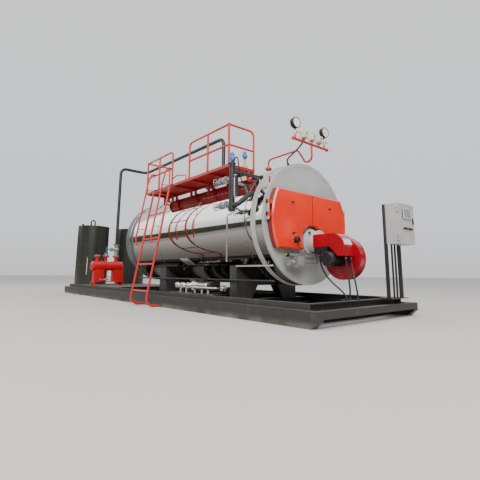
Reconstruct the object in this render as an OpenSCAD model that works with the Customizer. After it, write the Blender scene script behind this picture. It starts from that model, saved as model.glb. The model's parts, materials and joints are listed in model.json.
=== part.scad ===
// Skid mounted fire tube boiler with burner, walkway, water column,
// steam header, two tanks and a control cabinet.
// Millimetres. The origin is on the ground at the middle of the skid,
// +X points to the burner, -Y to the ladder side and +Z up.

/* [Skid] */
// Length of the outer skid
skid_l = 9830; // [9700:10:10200]
// Width over the two side beams
skid_w = 2420; // [2380:10:2520]
// Height of a side beam
beam_h = 195; // [185:5:230]
// Flange width of a side beam
beam_w = 110; // [95:5:125]
// Plate thickness of a side beam
beam_t = 12; // [8:1:16]
// Height of the end face's lower edge
nose_z = 85; // [60:5:100]
// Length of the slanted sled nose
nose_l = 100; // [60:10:180]
// Height of an end cross beam
end_beam_h = 91; // [70:1:100]
// Height of a cross member on the lower flanges
cross_h = 93; // [80:1:100]
// Width of the cross beams
cross_w = 100; // [80:5:130]
// Number of cross members
cross_n = 7; // [5:1:9]

/* [Base frame] */
// Height of the frame channels
frame_h = 160; // [140:5:200]
// Flange width of the frame channels
frame_w = 75; // [60:5:90]
// Plate thickness of the frame channels
frame_t = 10; // [6:1:14]
// Gap between a frame rail and the flange beside it
frame_gap = 5; // [2:1:10]
// Set back of the front channel from the skid's end
frame_front = 195; // [180:5:260]
// Gap between the rear cross beam and the frame
frame_rear = 15; // [5:1:40]
// Height of the low ribs that carry the saddles
saddle_rib_h = 90; // [80:5:120]
// Thickness of the floor plate under the tanks
floor_t = 6; // [4:1:10]
// Length of the floor plate from the rear end
floor_l = 3500; // [3300:10:3700]

/* [Saddles] */
// Half width of the saddles
saddle_y = 700; // [660:5:720]
// Plate thickness of the saddles
saddle_t = 14; // [10:1:20]
// Place of the rear saddle along the skid
saddle_1_x = 345; // [300:5:400]
// Length of the rear saddle
saddle_1_l = 285; // [240:5:320]
// Place of the front saddle along the skid
saddle_2_x = 2747; // [2700:1:2800]
// Length of the front saddle
saddle_2_l = 183; // [170:1:210]
// Width of the edge strip around a saddle's front web
edge_w = 12; // [8:1:20]
// Half width of a saddle's opening at its top
arch_w = 240; // [220:5:260]
// Depth of the saddle's plate below the shell's lowest line
arch_drop = 18; // [16:1:30]
// Outward run of the opening's sides for each unit of drop
arch_slope = 0.58; // [0.4:0.02:0.6]
// Height of the lengthwise rails under the shell
saddle_rail_h = 22; // [16:1:30]
// Distance of the rails' front end from the shell's front end
saddle_rail_back = 25; // [20:5:60]
// Diameter of the blow down pipe along the saddles
blow_d = 30; // [24:1:40]
// Height of the blow down pipe above the ground
blow_z = 505; // [480:5:560]
// Reach of the blow down pipe past the shell's front end
blow_reach = 10; // [0:5:40]

/* [Shell] */
// Outer diameter of the clad shell
shell_d = 1928; // [1900:2:1950]
// Length of the clad shell
shell_l = 4318; // [4200:2:4400]
// Thickness of the insulated jacket
jacket_t = 60; // [40:5:80]
// Height of the shell's axis above the ground
axis_z = 1402; // [1390:2:1440]
// Place of the shell's front end along the skid
shell_front = 3790; // [3770:5:3810]
// Set back of the rear head's outside from the cladding
head_step = 14; // [8:1:30]
// Length of the rear head
head_l = 532; // [450:5:600]
// Radius of the rear head's knuckle
knuckle_r = 110; // [80:5:150]
// Wall of the rear head
head_t = 20; // [12:1:30]
// Width of the closing band
band_w = 90; // [60:5:120]
// Thickness of the closing band
band_t = 10; // [5:1:16]
// Distance of the band's middle from the shell's front end
band_back = 190; // [150:5:260]

/* [Front plate and rim] */
// Depth of the front rim
rim_l = 40; // [30:2:60]
// Radial height of the front rim
rim_h = 57; // [40:1:70]
// Thickness of the front plate
plate_t = 26; // [16:2:34]
// Set back of the plate's face from the rim's face
plate_back = 4; // [2:1:8]

/* [Doors] */
// Gap between the rim and a closed door
door_gap = 4; // [2:1:6]
// Thickness of a door
door_t = 100; // [90:5:110]
// Distance of the doors' round edge inside the rim's edge
door_in = 72; // [70:2:90]
// Height of the door's top edge above the shell's axis
door_top = 448; // [430:2:480]
// Depth of the door's bottom edge below the shell's axis
door_low = 432; // [420:2:434]
// Gap between the two closed doors
door_split = 10; // [8:1:16]
// Chamfer around a door's face
door_bevel = 22; // [8:1:30]
// Radius of the cut out around the burner
cut_r = 245; // [240:1:250]
// Distance of a hinge pin inside the rim's edge
hinge_in = 44; // [38:1:46]
// Diameter of a hinge pin
pin_d = 20; // [16:1:24]
// Radial clearance of a hinge pin in its lugs
pin_play = 0.05; // [0.02:0.01:0.08]
// Radius of a hinge barrel
barrel_r = 20; // [18:0.5:21]
// Height of the hinge bracket
hinge_h = 340; // [320:2:380]
// Height of a door lug
lug_h = 60; // [50:2:70]

/* [Burner] */
// Depth of the burner's axis below the shell's axis
burner_drop = 302; // [300:1:304]
// Radius of the burner neck
neck_r = 165; // [150:1:175]
// Length of the burner neck behind the duct
neck_l = 210; // [200:2:230]
// Radius of the neck's flange
neck_flange_r = 215; // [200:1:225]
// Thickness of the neck's flange
neck_flange_t = 24; // [16:1:30]
// Radius of the neck's root
neck_root_r = 198; // [180:1:205]
// Length of the neck's root behind its flange
neck_root_l = 56; // [40:2:80]
// Length of the air duct
duct_l = 530; // [500:5:560]
// Width of the air duct
duct_w = 260; // [240:5:262]
// Distance of the duct's near side from the middle
duct_near = 170; // [160:2:180]
// Height of the duct's top above the burner's axis
duct_top = 87; // [80:1:95]
// Depth of the duct's bottom below the burner's axis
duct_low = 100; // [90:1:110]
// Depth of the duct's outlet below the burner's axis
duct_drop = 240; // [230:2:250]
// Length of the duct's flat bottom
duct_flat = 280; // [260:5:290]
// Length of the outlet's flat bottom
duct_foot = 110; // [100:5:120]
// Radius of the fan scroll
scroll_r = 305; // [290:1:308]
// Thickness of the fan scroll
scroll_t = 135; // [120:1:137]
// Depth of the fan's axis below the burner's axis
fan_drop = 264; // [260:2:280]
// Distance of the fan's axis from the duct's rear end
fan_x = 315; // [300:2:320]
// Radius of the motor
motor_r = 100; // [85:1:103]
// Length of the motor
motor_l = 340; // [300:5:345]
// Depth of the motor's axis below the fan's axis
motor_drop = 12; // [5:1:16]
// Set back of the motor's axis behind the fan's axis
motor_back = 25; // [20:1:40]

/* [Gas train] */
// Length of the gas valve block
valve_l = 238; // [220:2:260]
// Height of the gas valve block
valve_h = 196; // [180:2:200]
// Depth of the gas valve block
valve_w = 110; // [90:5:115]
// Distance of the valve block from the middle
valve_y = 262; // [250:2:280]
// Diameter of the gas pipe
gas_d = 60; // [48:2:66]
// Depth of the gas pipe below the burner neck
gas_drop = 75; // [66:1:90]
// Diameter of the ignition gas pipe
pilot_d = 36; // [30:2:40]
// Depth of the ignition gas pipe below the gas pipe
pilot_drop = 84; // [70:2:90]
// Diameter of the valve block's end cap
valve_cap_d = 104; // [90:2:120]
/* [Walkway] */
// Length of the walkway deck
deck_l = 2877; // [2860:1:2900]
// Place of the deck's rear end along the skid
deck_rear = 254; // [240:1:260]
// Width of the walkway deck
deck_w = 560; // [540:5:580]
// Depth of the deck below the shell's top
deck_drop = 34; // [20:1:40]
// Distance of the deck's outer edge outside the shell
deck_side = 92; // [80:1:110]
// Thickness of the deck plate
deck_t = 6; // [4:1:10]
// Height of the edge plates under the deck
fascia_h = 44; // [36:2:60]
// Thickness of the side plates and brackets
fascia_t = 6; // [5:1:10]
// Width of the posts that carry the deck
deck_post = 40; // [30:2:50]
// Gap between the two posts of a bracket
deck_post_gap = 60; // [50:5:80]
// Diameter of the guard rail tubes
rail_d = 38; // [32:1:42]
// Height of the guard rail above the deck
rail_h = 663; // [640:1:900]
// Height of the middle rail above the deck
mid_h = 318; // [300:1:400]
// Corner radius of the guard rail
rail_bend = 90; // [60:5:120]
// Width of the gap between the two guard sections
guard_gap = 619; // [560:1:660]
// Length of the rear guard section
guard_rear_l = 1086; // [1080:1:1120]

/* [Ladder] */
// Distance between the two stringers
ladder_w = 660; // [600:5:680]
// Diameter of a stringer
stringer_d = 42; // [38:1:48]
// Diameter of a rung
rung_d = 32; // [26:1:36]
// Run of the ladder for each unit of rise
ladder_lean = 0.18; // [0.16:0.01:0.19]
// Height of the lowest rung
rung_low = 282; // [260:2:320]
// Distance between rungs
rung_step = 495; // [400:5:500]
// Number of rungs
rung_n = 5; // [4:1:5]
// Bend radius of the feet
foot_bend = 150; // [100:5:170]
// Diameter of a ladder handrail
grab_d = 34; // [28:1:38]

/* [Steam pipe] */
// Outer diameter of the main steam pipe
steam_d = 84; // [76:1:90]
// Height of the pipe's long run
steam_z = 3715; // [3600:5:3900]
// Bend radius of the steam pipe
steam_bend = 170; // [130:5:200]
// Distance of the long run from the middle
steam_y = 385; // [360:5:420]
// Place of the steam outlet along the skid
outlet_x = 1110; // [1080:5:1140]

/* [Steam header] */
// Outer diameter of the header
header_d = 260; // [240:2:280]
// Length of the header between its end caps
header_l = 820; // [800:5:860]
// Height of the header's axis
header_z = 803; // [790:1:830]
// Distance of the header in front of the tanks' middle
header_ahead = 1460; // [1440:5:1480]
// Distance of the header's middle from the skid's middle
header_y = -668; // [-680:1:-650]
// Height of the flanges above the header's axis
branch_h = 282; // [260:2:300]
// Diameter of the branch flanges
branch_flange_d = 170; // [150:2:180]

/* [Tanks] */
// Radius of the tanks
tank_r = 460; // [430:5:465]
// Height of the tanks
tank_h = 1770; // [1700:10:1900]
// Wall of the tanks
tank_t = 8; // [5:1:14]
// Distance of the tanks' middle from the skid's rear end
tank_back = 585; // [580:5:620]
// Distance of a tank's middle from the middle of the skid
tank_y = 630; // [610:5:635]
// Thickness of a tank's lid
lid_t = 14; // [8:1:20]

/* [Water column] */
// Radius of the water column
column_r = 46; // [40:1:52]
// Height of the water column
column_h = 721; // [700:1:760]
// Place of the column along the skid
column_x = 3339; // [3320:1:3350]
// Distance of the column outside the shell
column_side = 186; // [170:1:200]
// Height of the column's foot above the shell's axis
column_low = 148; // [130:1:160]
// Distance of a column valve's middle from the column
cock_gap = 190; // [170:5:200]
// Radius of a column valve's flanges
cock_flange_r = 58; // [50:1:64]
// Radius of the lower pipe between column and shell
loop_r = 38; // [30:1:42]
// Radius of the upper pipe between column and shell
upper_r = 30; // [24:1:34]
// Length of the drain pipe below the column
drain_l = 773; // [700:1:800]

/* [Gauges] */
// Diameter of a pressure gauge
gauge_d = 175; // [150:1:190]
// Depth of a pressure gauge
gauge_t = 65; // [50:1:75]
// Height of the gauge header above the shell's axis
manifold_rise = 1273; // [1260:1:1290]
// Diameter of the gauge header
manifold_d = 40; // [34:1:46]
// Length of the gauge header
manifold_l = 825; // [800:5:860]
// Distance of the gauge header from the shell's front end
manifold_x = 158; // [150:1:170]
// Size of a pressure switch box
switch_w = 96; // [80:1:110]
// Distance of the siphon's flange behind the shell's front end
siphon_back = 829; // [800:1:860]
// Outer diameter of the siphon pipe
siphon_d = 32; // [26:1:36]
// Height of the siphon's flange above the shell
siphon_flange_h = 134; // [120:2:150]
// Height of the siphon's long run above the shell
siphon_run_h = 289; // [270:1:310]
// Bend radius of the siphon
siphon_bend = 78; // [60:1:78]
// Distance of the level probe behind the shell's front end
probe_back = 1490; // [1450:5:1520]

/* [Cabinet] */
// Width of the control cabinet
cab_w = 455; // [430:5:480]
// Height of the control cabinet
cab_h = 590; // [560:5:640]
// Depth of the control cabinet's body
cab_d = 188; // [160:2:220]
// Thickness of the cabinet's door
cab_door_t = 18; // [14:1:24]
// Wall of the cabinet
cab_wall = 4; // [3:0.5:6]
// Height of the cabinet's floor above the ground
cab_z = 1045; // [1000:5:1080]
// Distance of the cabinet's left side from the middle
cab_y = 555; // [550:5:570]
// Distance of the cabinet's back in front of the base frame
cab_out = 112; // [112:1:130]
// Width of a post angle
post_w = 40; // [34:1:41]
// Plate thickness of a post
post_t = 6; // [4:1:8]

/* [Hidden] */

$fn = 64;
// Overlap of a cutting tool past the face that it cuts
over = 1;
// Seat of a curved piece on another curved face
seat = 0.3;
// Reach of a straight tube into the bend that it meets
tuck = 1;
// Share of its bends' radius that a straight tube has
slim = 0.995;

skid_end = skid_l / 2;
side_y = skid_w / 2;
frame_z0 = beam_t + cross_h;
frame_z = frame_z0 + frame_h;
frame_y = side_y - beam_w - frame_gap;
frame_x1 = skid_end - frame_front;
frame_x0 = -skid_end + cross_w + frame_rear;
floor_z = frame_z + floor_t;

shell_r = shell_d / 2;
shell_rear = shell_front - shell_l;
shell_top = axis_z + shell_r;
head_r = shell_r - head_step;
head_end = shell_rear - head_l;
rim_x = shell_front + rim_l;
rim_r = shell_r - 2;
rim_in = rim_r - rim_h;
plate_x = rim_x - plate_back;
band_x = shell_front - band_back;
door_r = rim_r - door_in;
hinge_y = rim_r - hinge_in;
column_y = shell_r + column_side;
tank_x = -skid_end + tank_back;
header_x = tank_x + header_ahead;
cab_x = frame_x1 + cab_out;

door_x0 = rim_x + door_gap;
door_x1 = door_x0 + door_t;
hinge_x = door_x0 + door_t / 2 - 4;
hinge_z0 = axis_z - 36;
bracket_t = 20;

burner_z = axis_z - burner_drop;
neck_x0 = plate_x;
neck_x1 = neck_x0 + neck_flange_t + neck_l;
duct_x0 = neck_x1;
duct_x1 = duct_x0 + duct_l;
duct_far = duct_w - duct_near;
duct_low_z = burner_z - duct_low;
duct_foot_z = burner_z - duct_drop;
fan_cx = duct_x0 + fan_x;
fan_z = burner_z - fan_drop;

deck_out = shell_r + deck_side;
deck_z = shell_top - deck_drop;
deck_x1 = deck_rear + deck_l;
rail_y = -deck_out + 4;
rail_r = rail_d / 2;
post_front = deck_x1 - 4;
post_rear = deck_rear + 6;
gap_x0 = post_rear + guard_rear_l - 5;
gap_x1 = gap_x0 + guard_gap;
ladder_x1 = gap_x0 - 26;
ladder_x0 = ladder_x1 - ladder_w;

function ladder_y(z) = -deck_out - stringer_d / 2 - seat - (deck_z - z) * ladder_lean;
function unit(v) = v / norm(v);

// Box between two corners
module box(a, b) translate(a) cube(b - a);

// Frame of three unit vectors whose last one is u
function frame_of(u) =
    let (w = abs(u[2]) < 0.9 ? [0, 0, 1] : [1, 0, 0])
    let (x = unit(cross(w, u)))
    [x, cross(u, x), u];

// Children moved into the frame f at o
module place(o, f) multmatrix([
    [f[0][0], f[1][0], f[2][0], o[0]],
    [f[0][1], f[1][1], f[2][1], o[1]],
    [f[0][2], f[1][2], f[2][2], o[2]],
    [0, 0, 0, 1]
]) children();

// Round bar from a to b
module rod(a, b, r) place(a, frame_of(unit(b - a))) cylinder(h = norm(b - a), r = r);

// Angle by which a path turns at its point i
function turn(p, i) = acos(unit(p[i] - p[i - 1]) * unit(p[i + 1] - p[i]));

// Length that the bend at point i takes from each side
function bend_cut(p, i, bend) =
    i == 0 || i == len(p) - 1 ? 0 : bend * tan(turn(p, i) / 2);

// Torus sector at point i of a path
module elbow(p, i, r, bend) {
    u = unit(p[i] - p[i - 1]);
    v = unit(p[i + 1] - p[i]);
    n = unit(v - u * (u * v));
    start = p[i] - u * bend_cut(p, i, bend);
    place(start + n * bend, [-n, u, cross(-n, u)])
        rotate_extrude(angle = turn(p, i))
            translate([bend, 0]) circle(r = r);
}

// Tube of radius r along a path, with the bend radius at each inner point;
// its straight lengths are a hair thinner and reach a little into the bends
module pipe(p, r, bend) {
    last = len(p) - 2;
    for (i = [0 : last]) {
        u = unit(p[i + 1] - p[i]);
        a = i == 0 ? 0 : bend_cut(p, i, bend) - tuck;
        b = i == last ? 0 : bend_cut(p, i + 1, bend) - tuck;
        rod(p[i] + u * a, p[i + 1] - u * b, r * slim);
    }
    if (last > 0) {
        for (i = [1 : last]) elbow(p, i, r, bend);
    }
}

// Outline in Y and Z, drawn out along X
module along_x(x0, x1)
    translate([x0, 0, 0]) rotate([90, 0, 90]) linear_extrude(height = x1 - x0) children();

// Outline in X and Z, drawn out along Y
module along_y(y0, y1)
    translate([0, y1, 0]) rotate([90, 0, 0]) linear_extrude(height = y1 - y0) children();

// Outline in radius and X, turned about an axis along X at height z
module about_x(z = axis_z, y = 0)
    translate([0, y, z]) rotate([0, 90, 0]) rotate_extrude() children();

// Outline in radius and Y, turned about an axis along Y
module about_y(x, z) translate([x, 0, z]) rotate([-90, 0, 0]) rotate_extrude() children();

// Ring along X about the shell's axis
module ring(x0, x1, r_out, r_in) about_x() translate([r_in, x0]) square([r_out - r_in, x1 - x0]);

// Round bar along X, Y or Z
module bar_x(x0, x1, y, z, r) translate([x0, y, z]) rotate([0, 90, 0]) cylinder(h = x1 - x0, r = r);
module bar_y(y0, y1, x, z, r) translate([x, y0, z]) rotate([-90, 0, 0]) cylinder(h = y1 - y0, r = r);
module bar_z(z0, z1, x, y, r) translate([x, y, z0]) cylinder(h = z1 - z0, r = r);

// Handwheel about the Z axis, with its rear side at z = 0
module handwheel(r, wire = 7) {
    rotate_extrude() translate([r - wire, wire]) circle(r = wire);
    for (a = [0 : 90 : 270])
        translate([0, 0, wire]) rotate([0, 90, a]) cylinder(h = r - wire, r = wire * 0.7);
    cylinder(h = 3 * wire, r = 3 * wire);
}

// Channel outline that opens to the right
module channel(w, h, t) polygon([
    [0, 0], [w, 0], [w, t], [t, t], [t, h - t], [w, h - t], [w, h], [0, h]
]);

// Space taken by the clad shell, with its seat
module shell_space(gap = seat)
    bar_x(head_end, rim_x, 0, axis_z, shell_r + gap, $fn = 240);

// Space taken by the closing band, with its seat
module band_space()
    bar_x(band_x - band_w / 2 - seat, band_x + band_w / 2 + seat, 0, axis_z,
        shell_r + band_t + 2 * seat, $fn = 240);

// Skid

nose_len = norm([nose_l, nose_z]);
function nose_up(i) =
    nose_z + i * nose_l / nose_len - i * (nose_len - nose_z) * nose_z / (nose_l * nose_len);
function nose_in(i) =
    i * nose_z / nose_len + (nose_z - i + i * nose_l / nose_len) * nose_l / nose_z;

// Side view of a skid beam, with all its edges moved in by i
module beam_outline(i) polygon([
    [-skid_end + i, beam_h - i], [skid_end - i, beam_h - i],
    [skid_end - i, nose_up(i)], [skid_end - nose_in(i), i],
    [-skid_end + nose_in(i), i], [-skid_end + i, nose_up(i)]
]);

module skid_beam() difference() {
    along_y(side_y - beam_w, side_y) beam_outline(0);
    along_y(side_y - beam_w - over, side_y - beam_t) beam_outline(beam_t);
}

module skid_beams() color("#3b3a38") {
    skid_beam();
    mirror([0, 1, 0]) skid_beam();
}

module end_beam() along_y(-side_y + beam_w, side_y - beam_w)
    translate([skid_end, beam_h - end_beam_h]) mirror([1, 0]) channel(cross_w, end_beam_h, beam_t);

module cross_member(x) along_y(-side_y + beam_t, side_y - beam_t)
    translate([x - cross_w / 2, beam_t]) channel(cross_w, cross_h, beam_t);

module cross_beams() color("#3f3e3c") {
    end_beam();
    mirror([1, 0, 0]) end_beam();
    first = -skid_end + nose_l + 3 * cross_w;
    step = -2 * first / (cross_n - 1);
    for (i = [0 : cross_n - 1]) cross_member(first + i * step);
}

// Base frame

saddle_list = [[saddle_1_x, saddle_1_l], [saddle_2_x, saddle_2_l]];

module frame_rail() along_x(frame_x0, frame_x1)
    translate([frame_y, frame_z0]) mirror([1, 0]) channel(frame_w, frame_h, frame_t);

module frame_rib(x, h = frame_h) along_y(-frame_y, frame_y)
    translate([x, frame_z0]) channel(frame_w, h, frame_t);

module base_frame() color("#45443f") union() {
    frame_rail();
    mirror([0, 1, 0]) frame_rail();
    frame_rib(frame_x1 - frame_w);
    translate([frame_x0 + frame_w, 0, 0]) mirror([1, 0, 0]) frame_rib(0);
    for (s = saddle_list) {
        frame_rib(s[0], saddle_rib_h);
        frame_rib(s[0] + s[1] - frame_w, saddle_rib_h);
    }
    for (i = [0 : 2]) frame_rib(pump_x + i * (pump_base_l - frame_w) / 2);
    for (x = [tank_x, header_x, frame_x0 + floor_l - frame_w]) frame_rib(x);
}

module floor_plate() color("#4a4a48")
    box([frame_x0, -frame_y, frame_z], [frame_x0 + floor_l, frame_y, floor_z]);

// Saddles

saddle_foot = frame_z0 + saddle_rib_h;
saddle_top = axis_z - sqrt(pow(shell_r, 2) - pow(saddle_y, 2));
arch_z = axis_z - shell_r - arch_drop;
arch_foot_w = arch_w + arch_slope * (arch_z - saddle_foot + over);

// Opening between the two legs of a saddle
module saddle_arch(x0, x1) along_x(x0, x1) polygon([
    [-arch_w, arch_z], [arch_w, arch_z],
    [arch_foot_w, saddle_foot - over], [-arch_foot_w, saddle_foot - over]
]);

module saddle(x, l) difference() {
    union() {
        box([x, -saddle_y, saddle_foot], [x + l, saddle_y, axis_z]);
        box([x + l - saddle_t, -saddle_y - edge_w, saddle_foot],
            [x + l, saddle_y + edge_w, axis_z]);
    }
    shell_space();
    difference() {
        box([x + saddle_t, -saddle_y + saddle_t, saddle_foot - over],
            [x + l - saddle_t, saddle_y - saddle_t, axis_z]);
        shell_space(seat + saddle_t);
    }
    saddle_arch(x - over, x + l + over);
}

// Lengthwise rail under the shell, ahead of the front saddle
module saddle_rail() difference() {
    box([saddle_2_x + saddle_2_l - saddle_t, saddle_y - 2 * edge_w, saddle_top - saddle_rail_h],
        [shell_front - saddle_rail_back, saddle_y + edge_w, saddle_top]);
    shell_space();
    band_space();
}

module saddles() color("#42413d") {
    saddle(saddle_1_x, saddle_1_l);
    union() {
        saddle(saddle_2_x, saddle_2_l);
        saddle_rail();
        mirror([0, 1, 0]) saddle_rail();
    }
}

blow_y = -saddle_y - edge_w - blow_d / 2 - seat;

module blowdown_pipe() color("#5c5a52")
    bar_x(head_end + head_l * 0.8, shell_front + blow_reach, blow_y, blow_z, blow_d / 2);

// Shell

module shell_cladding() color("#b9b6ad") ring(shell_rear, shell_front, shell_r, shell_r - jacket_t);

module head_outline(i) {
    translate([0, head_end + i]) square([head_r - knuckle_r, shell_rear - head_end - i]);
    translate([0, head_end + knuckle_r]) square([head_r - i, head_l - knuckle_r]);
    intersection() {
        translate([head_r - knuckle_r, head_end + knuckle_r]) circle(r = knuckle_r - i);
        translate([0, head_end]) square([head_r, head_l]);
    }
}

module rear_head() color("#5d6165") about_x() difference() {
    head_outline(0);
    translate([0, over]) head_outline(head_t);
}

module shell_band() color("#c9c7c0") {
    ring(band_x - band_w / 2, band_x + band_w / 2, shell_r + seat + band_t, shell_r + seat);
}

module front_rim() color("#8b8d88") ring(shell_front, rim_x, rim_r, rim_in);

module front_plate() color("#9b9c97")
    bar_x(plate_x - plate_t, plate_x, 0, axis_z, rim_in - seat);

// Doors

lug_z = [hinge_z0 + 80, hinge_z0 + hinge_h - 80];

module door_disc() about_x() polygon([
    [0, door_x0], [door_r, door_x0], [door_r, door_x1 - door_bevel],
    [door_r - door_bevel, door_x1], [0, door_x1]
]);

// Wedge that bevels a straight face edge, for an edge facing +v
module bevel_wedge() polygon([
    [door_x1 - door_bevel, 0], [door_x1 + over, -door_bevel - over], [door_x1 + over, over],
    [door_x1 - door_bevel, over]
]);

module door_lug(z) difference() {
    union() {
        bar_z(z - lug_h / 2, z + lug_h / 2, hinge_x, hinge_y, barrel_r);
        box([hinge_x - barrel_r * 0.8, door_r - 90, z - lug_h / 2],
            [hinge_x + barrel_r * 0.8, hinge_y, z + lug_h / 2]);
    }
    bar_z(z - lug_h, z + lug_h, hinge_x, hinge_y, pin_d / 2 + pin_play);
}

// Right hand door; the left one is its mirror image
module door() {
    difference() {
        intersection() {
            door_disc();
            box([door_x0 - over, door_split / 2, axis_z - door_low],
                [door_x1 + over, door_r + over, axis_z + door_top]);
        }
        along_y(-over, door_r + over) translate([0, axis_z + door_top]) bevel_wedge();
        along_y(-over, door_r + over) translate([0, axis_z - door_low]) mirror([0, 1]) bevel_wedge();
        bar_x(door_x0 - over, door_x1 + over, 0, burner_z, cut_r);
        translate([door_x1 - door_bevel, 0, burner_z]) rotate([0, 90, 0])
            cylinder(h = door_bevel + over, r1 = cut_r, r2 = cut_r + door_bevel + over);
    }
    for (z = lug_z) door_lug(z);
}

module door_right() color("#ee4423") door();

module door_left() color("#ee4423") mirror([0, 1, 0]) door();

lug_gap = 1;
barrel_z = [
    [hinge_z0, lug_z[0] - lug_h / 2 - lug_gap],
    [lug_z[0] + lug_h / 2 + lug_gap, lug_z[1] - lug_h / 2 - lug_gap],
    [lug_z[1] + lug_h / 2 + lug_gap, hinge_z0 + hinge_h]
];

module hinge() union() {
    box([rim_x, door_r + 6, hinge_z0], [rim_x + bracket_t, hinge_y + barrel_r + 6, hinge_z0 + hinge_h]);
    bar_z(hinge_z0, hinge_z0 + hinge_h, hinge_x, hinge_y, pin_d / 2);
    for (b = barrel_z) {
        bar_z(b[0], b[1], hinge_x, hinge_y, barrel_r);
        box([rim_x + bracket_t / 2, hinge_y - pin_d / 2, b[0]], [hinge_x, hinge_y + pin_d / 2, b[1]]);
    }
}

module door_hinges() color("#b9bbb8") {
    hinge();
    mirror([0, 1, 0]) hinge();
}

knob_l = 66;
knob_r = 24;
knob_up = 261;
port_y = -410;
port_down = 297;
port_r = 46;
port_l = 56;
fitting_y = -465;
fitting_down = 197;

module knob(y) {
    bar_x(door_x1, door_x1 + knob_l - knob_r, y, axis_z + knob_up, knob_r / 2);
    bar_x(door_x1 + knob_l - knob_r, door_x1 + knob_l, y, axis_z + knob_up, knob_r);
}

// Sight port with its round cover
module sight_port() {
    bar_x(door_x1, door_x1 + port_l * 0.6, port_y, axis_z - port_down, port_r);
    bar_x(door_x1 + port_l * 0.5, door_x1 + port_l, port_y, axis_z - port_down, port_r * 0.75);
}

module door_fittings_left() color("#202022") {
    knob(-475);
    union() sight_port();
    bar_x(door_x1, door_x1 + port_l, fitting_y, axis_z - fitting_down, port_r / 3);
}

module door_fittings_right() color("#202022") knob(430);

// Burner

module burner_neck() color("#a3a39d") union() {
    bar_x(neck_x0, neck_x0 + neck_flange_t, 0, burner_z, neck_flange_r);
    bar_x(neck_x0, neck_x0 + neck_flange_t + neck_root_l, 0, burner_z, neck_root_r);
    bar_x(neck_x0, neck_x1, 0, burner_z, neck_r);
}

duct_round = 200;

module duct_outline() {
    cx = duct_x1 - duct_round;
    cz = burner_z + duct_top - duct_round;
    polygon([
        [duct_x0, duct_low_z], [duct_x0, burner_z + duct_top], [cx, burner_z + duct_top],
        [cx, cz], [duct_x1, cz], [duct_x1, duct_foot_z],
        [duct_x1 - duct_foot, duct_foot_z], [duct_x0 + duct_flat, duct_low_z]
    ]);
    intersection() {
        translate([cx, cz]) circle(r = duct_round);
        translate([cx, cz]) square([duct_round, duct_round]);
    }
}

module burner_duct() color("#b80d14") along_y(-duct_near, duct_far) duct_outline();

module burner_fan_scroll() color("#c01018") bar_y(duct_far, duct_far + scroll_t, fan_cx, fan_z, scroll_r);

motor_cx = fan_cx - motor_back;
motor_z = fan_z - motor_drop;

motor_box = [64, 140, 100];
servo = [150, 140, 95];
servo_out = 30;

module burner_motor() color("#17181a") union() {
    bar_y(duct_far - motor_l, duct_far, motor_cx, motor_z, motor_r);
    box([motor_cx - motor_r - motor_box[0] / 2, duct_far - motor_box[1] - scroll_t / 4, motor_z - motor_box[2] / 2],
        [motor_cx - motor_r + motor_box[0] / 2, duct_far - scroll_t / 4, motor_z + motor_box[2] / 2]);
    box([motor_cx - motor_r - servo[0], -duct_near - servo_out, duct_low_z - servo[2]],
        [motor_cx - motor_r / 4, -duct_near - servo_out + servo[1], duct_low_z - seat]);
}

gas_x = neck_x0 + 124;
gas_z = burner_z - neck_r - gas_drop;
pilot_z = gas_z - pilot_drop;
valve_far = valve_y + valve_l;
block_top = gas_z + gas_d / 2 + 5;
cap_l = 92;
cap_z = pilot_z - 8;

// Pipe from the valve block along Y and up into the burner neck
module gas_pipe(y, z, d) pipe([
    [gas_x, -valve_y - over, z], [gas_x, y, z], [gas_x, y, burner_z]
], d / 2, d * 0.75);

module gas_train() color("#8d8f8d") union() {
    difference() {
        union() {
            gas_pipe(0, gas_z, gas_d);
            gas_pipe(gas_d / 2 + pilot_d, pilot_z, pilot_d);
        }
        bar_x(neck_x0, neck_x1, 0, burner_z, neck_r + seat);
    }
    box([gas_x - valve_w / 2, -valve_far, block_top - valve_h],
        [gas_x + valve_w / 2, -valve_y, block_top]);
    bar_y(-valve_far - cap_l, -valve_far, gas_x, cap_z, valve_cap_d * 0.38);
    bar_y(-valve_far - cap_l, -valve_far - cap_l / 2, gas_x, cap_z, valve_cap_d / 2);
    bar_y(-valve_far - cap_l, -valve_far, gas_x, gas_z + gas_d / 4, gas_d * 0.4);
    bar_y(-valve_y, -valve_y + gas_d / 4, gas_x, gas_z, gas_d * 0.7);
}

// Gauges

manifold_z = axis_z + manifold_rise;
manifold_cx = shell_front + manifold_x;
manifold_y0 = -430;
gauge_list = [[-390, 260], [335, 285]];
switch_list = [-175, 17, 195];
switch_foot = 70;
siphon_x = shell_front - siphon_back;

module steam_siphon() color("#c4161c") {
    run_z = shell_top + siphon_run_h;
    low_z = shell_top + siphon_bend / 2;
    flange_z = shell_top + siphon_flange_h;
    top_x = shell_front - 1.65 * siphon_bend;
    difference() {
        bar_z(axis_z, flange_z, siphon_x, 0, siphon_d * 0.95);
        shell_space();
    }
    bar_z(flange_z - siphon_d, flange_z, siphon_x, 0, siphon_d * 1.9);
    pipe([
        [siphon_x, 0, flange_z], [siphon_x, 0, run_z], [top_x, 0, run_z],
        [manifold_cx - 1.7 * siphon_bend, 0, low_z], [manifold_cx, 0, low_z],
        [manifold_cx, 0, manifold_z - manifold_d / 2 - seat]
    ], siphon_d / 2, siphon_bend);
}

module gauge_header() color("#c4161c") union() {
    bar_y(manifold_y0, manifold_y0 + manifold_l, manifold_cx, manifold_z, manifold_d / 2);
    for (y = [manifold_y0 - 12, manifold_y0 + manifold_l])
        bar_y(y, y + 12, manifold_cx, manifold_z, manifold_d / 2 + 5);
    for (g = gauge_list) bar_z(manifold_z, manifold_z + switch_foot, manifold_cx, g[0], 13);
    for (y = switch_list) bar_z(manifold_z, manifold_z + switch_foot, manifold_cx, y, 13);
}

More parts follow.
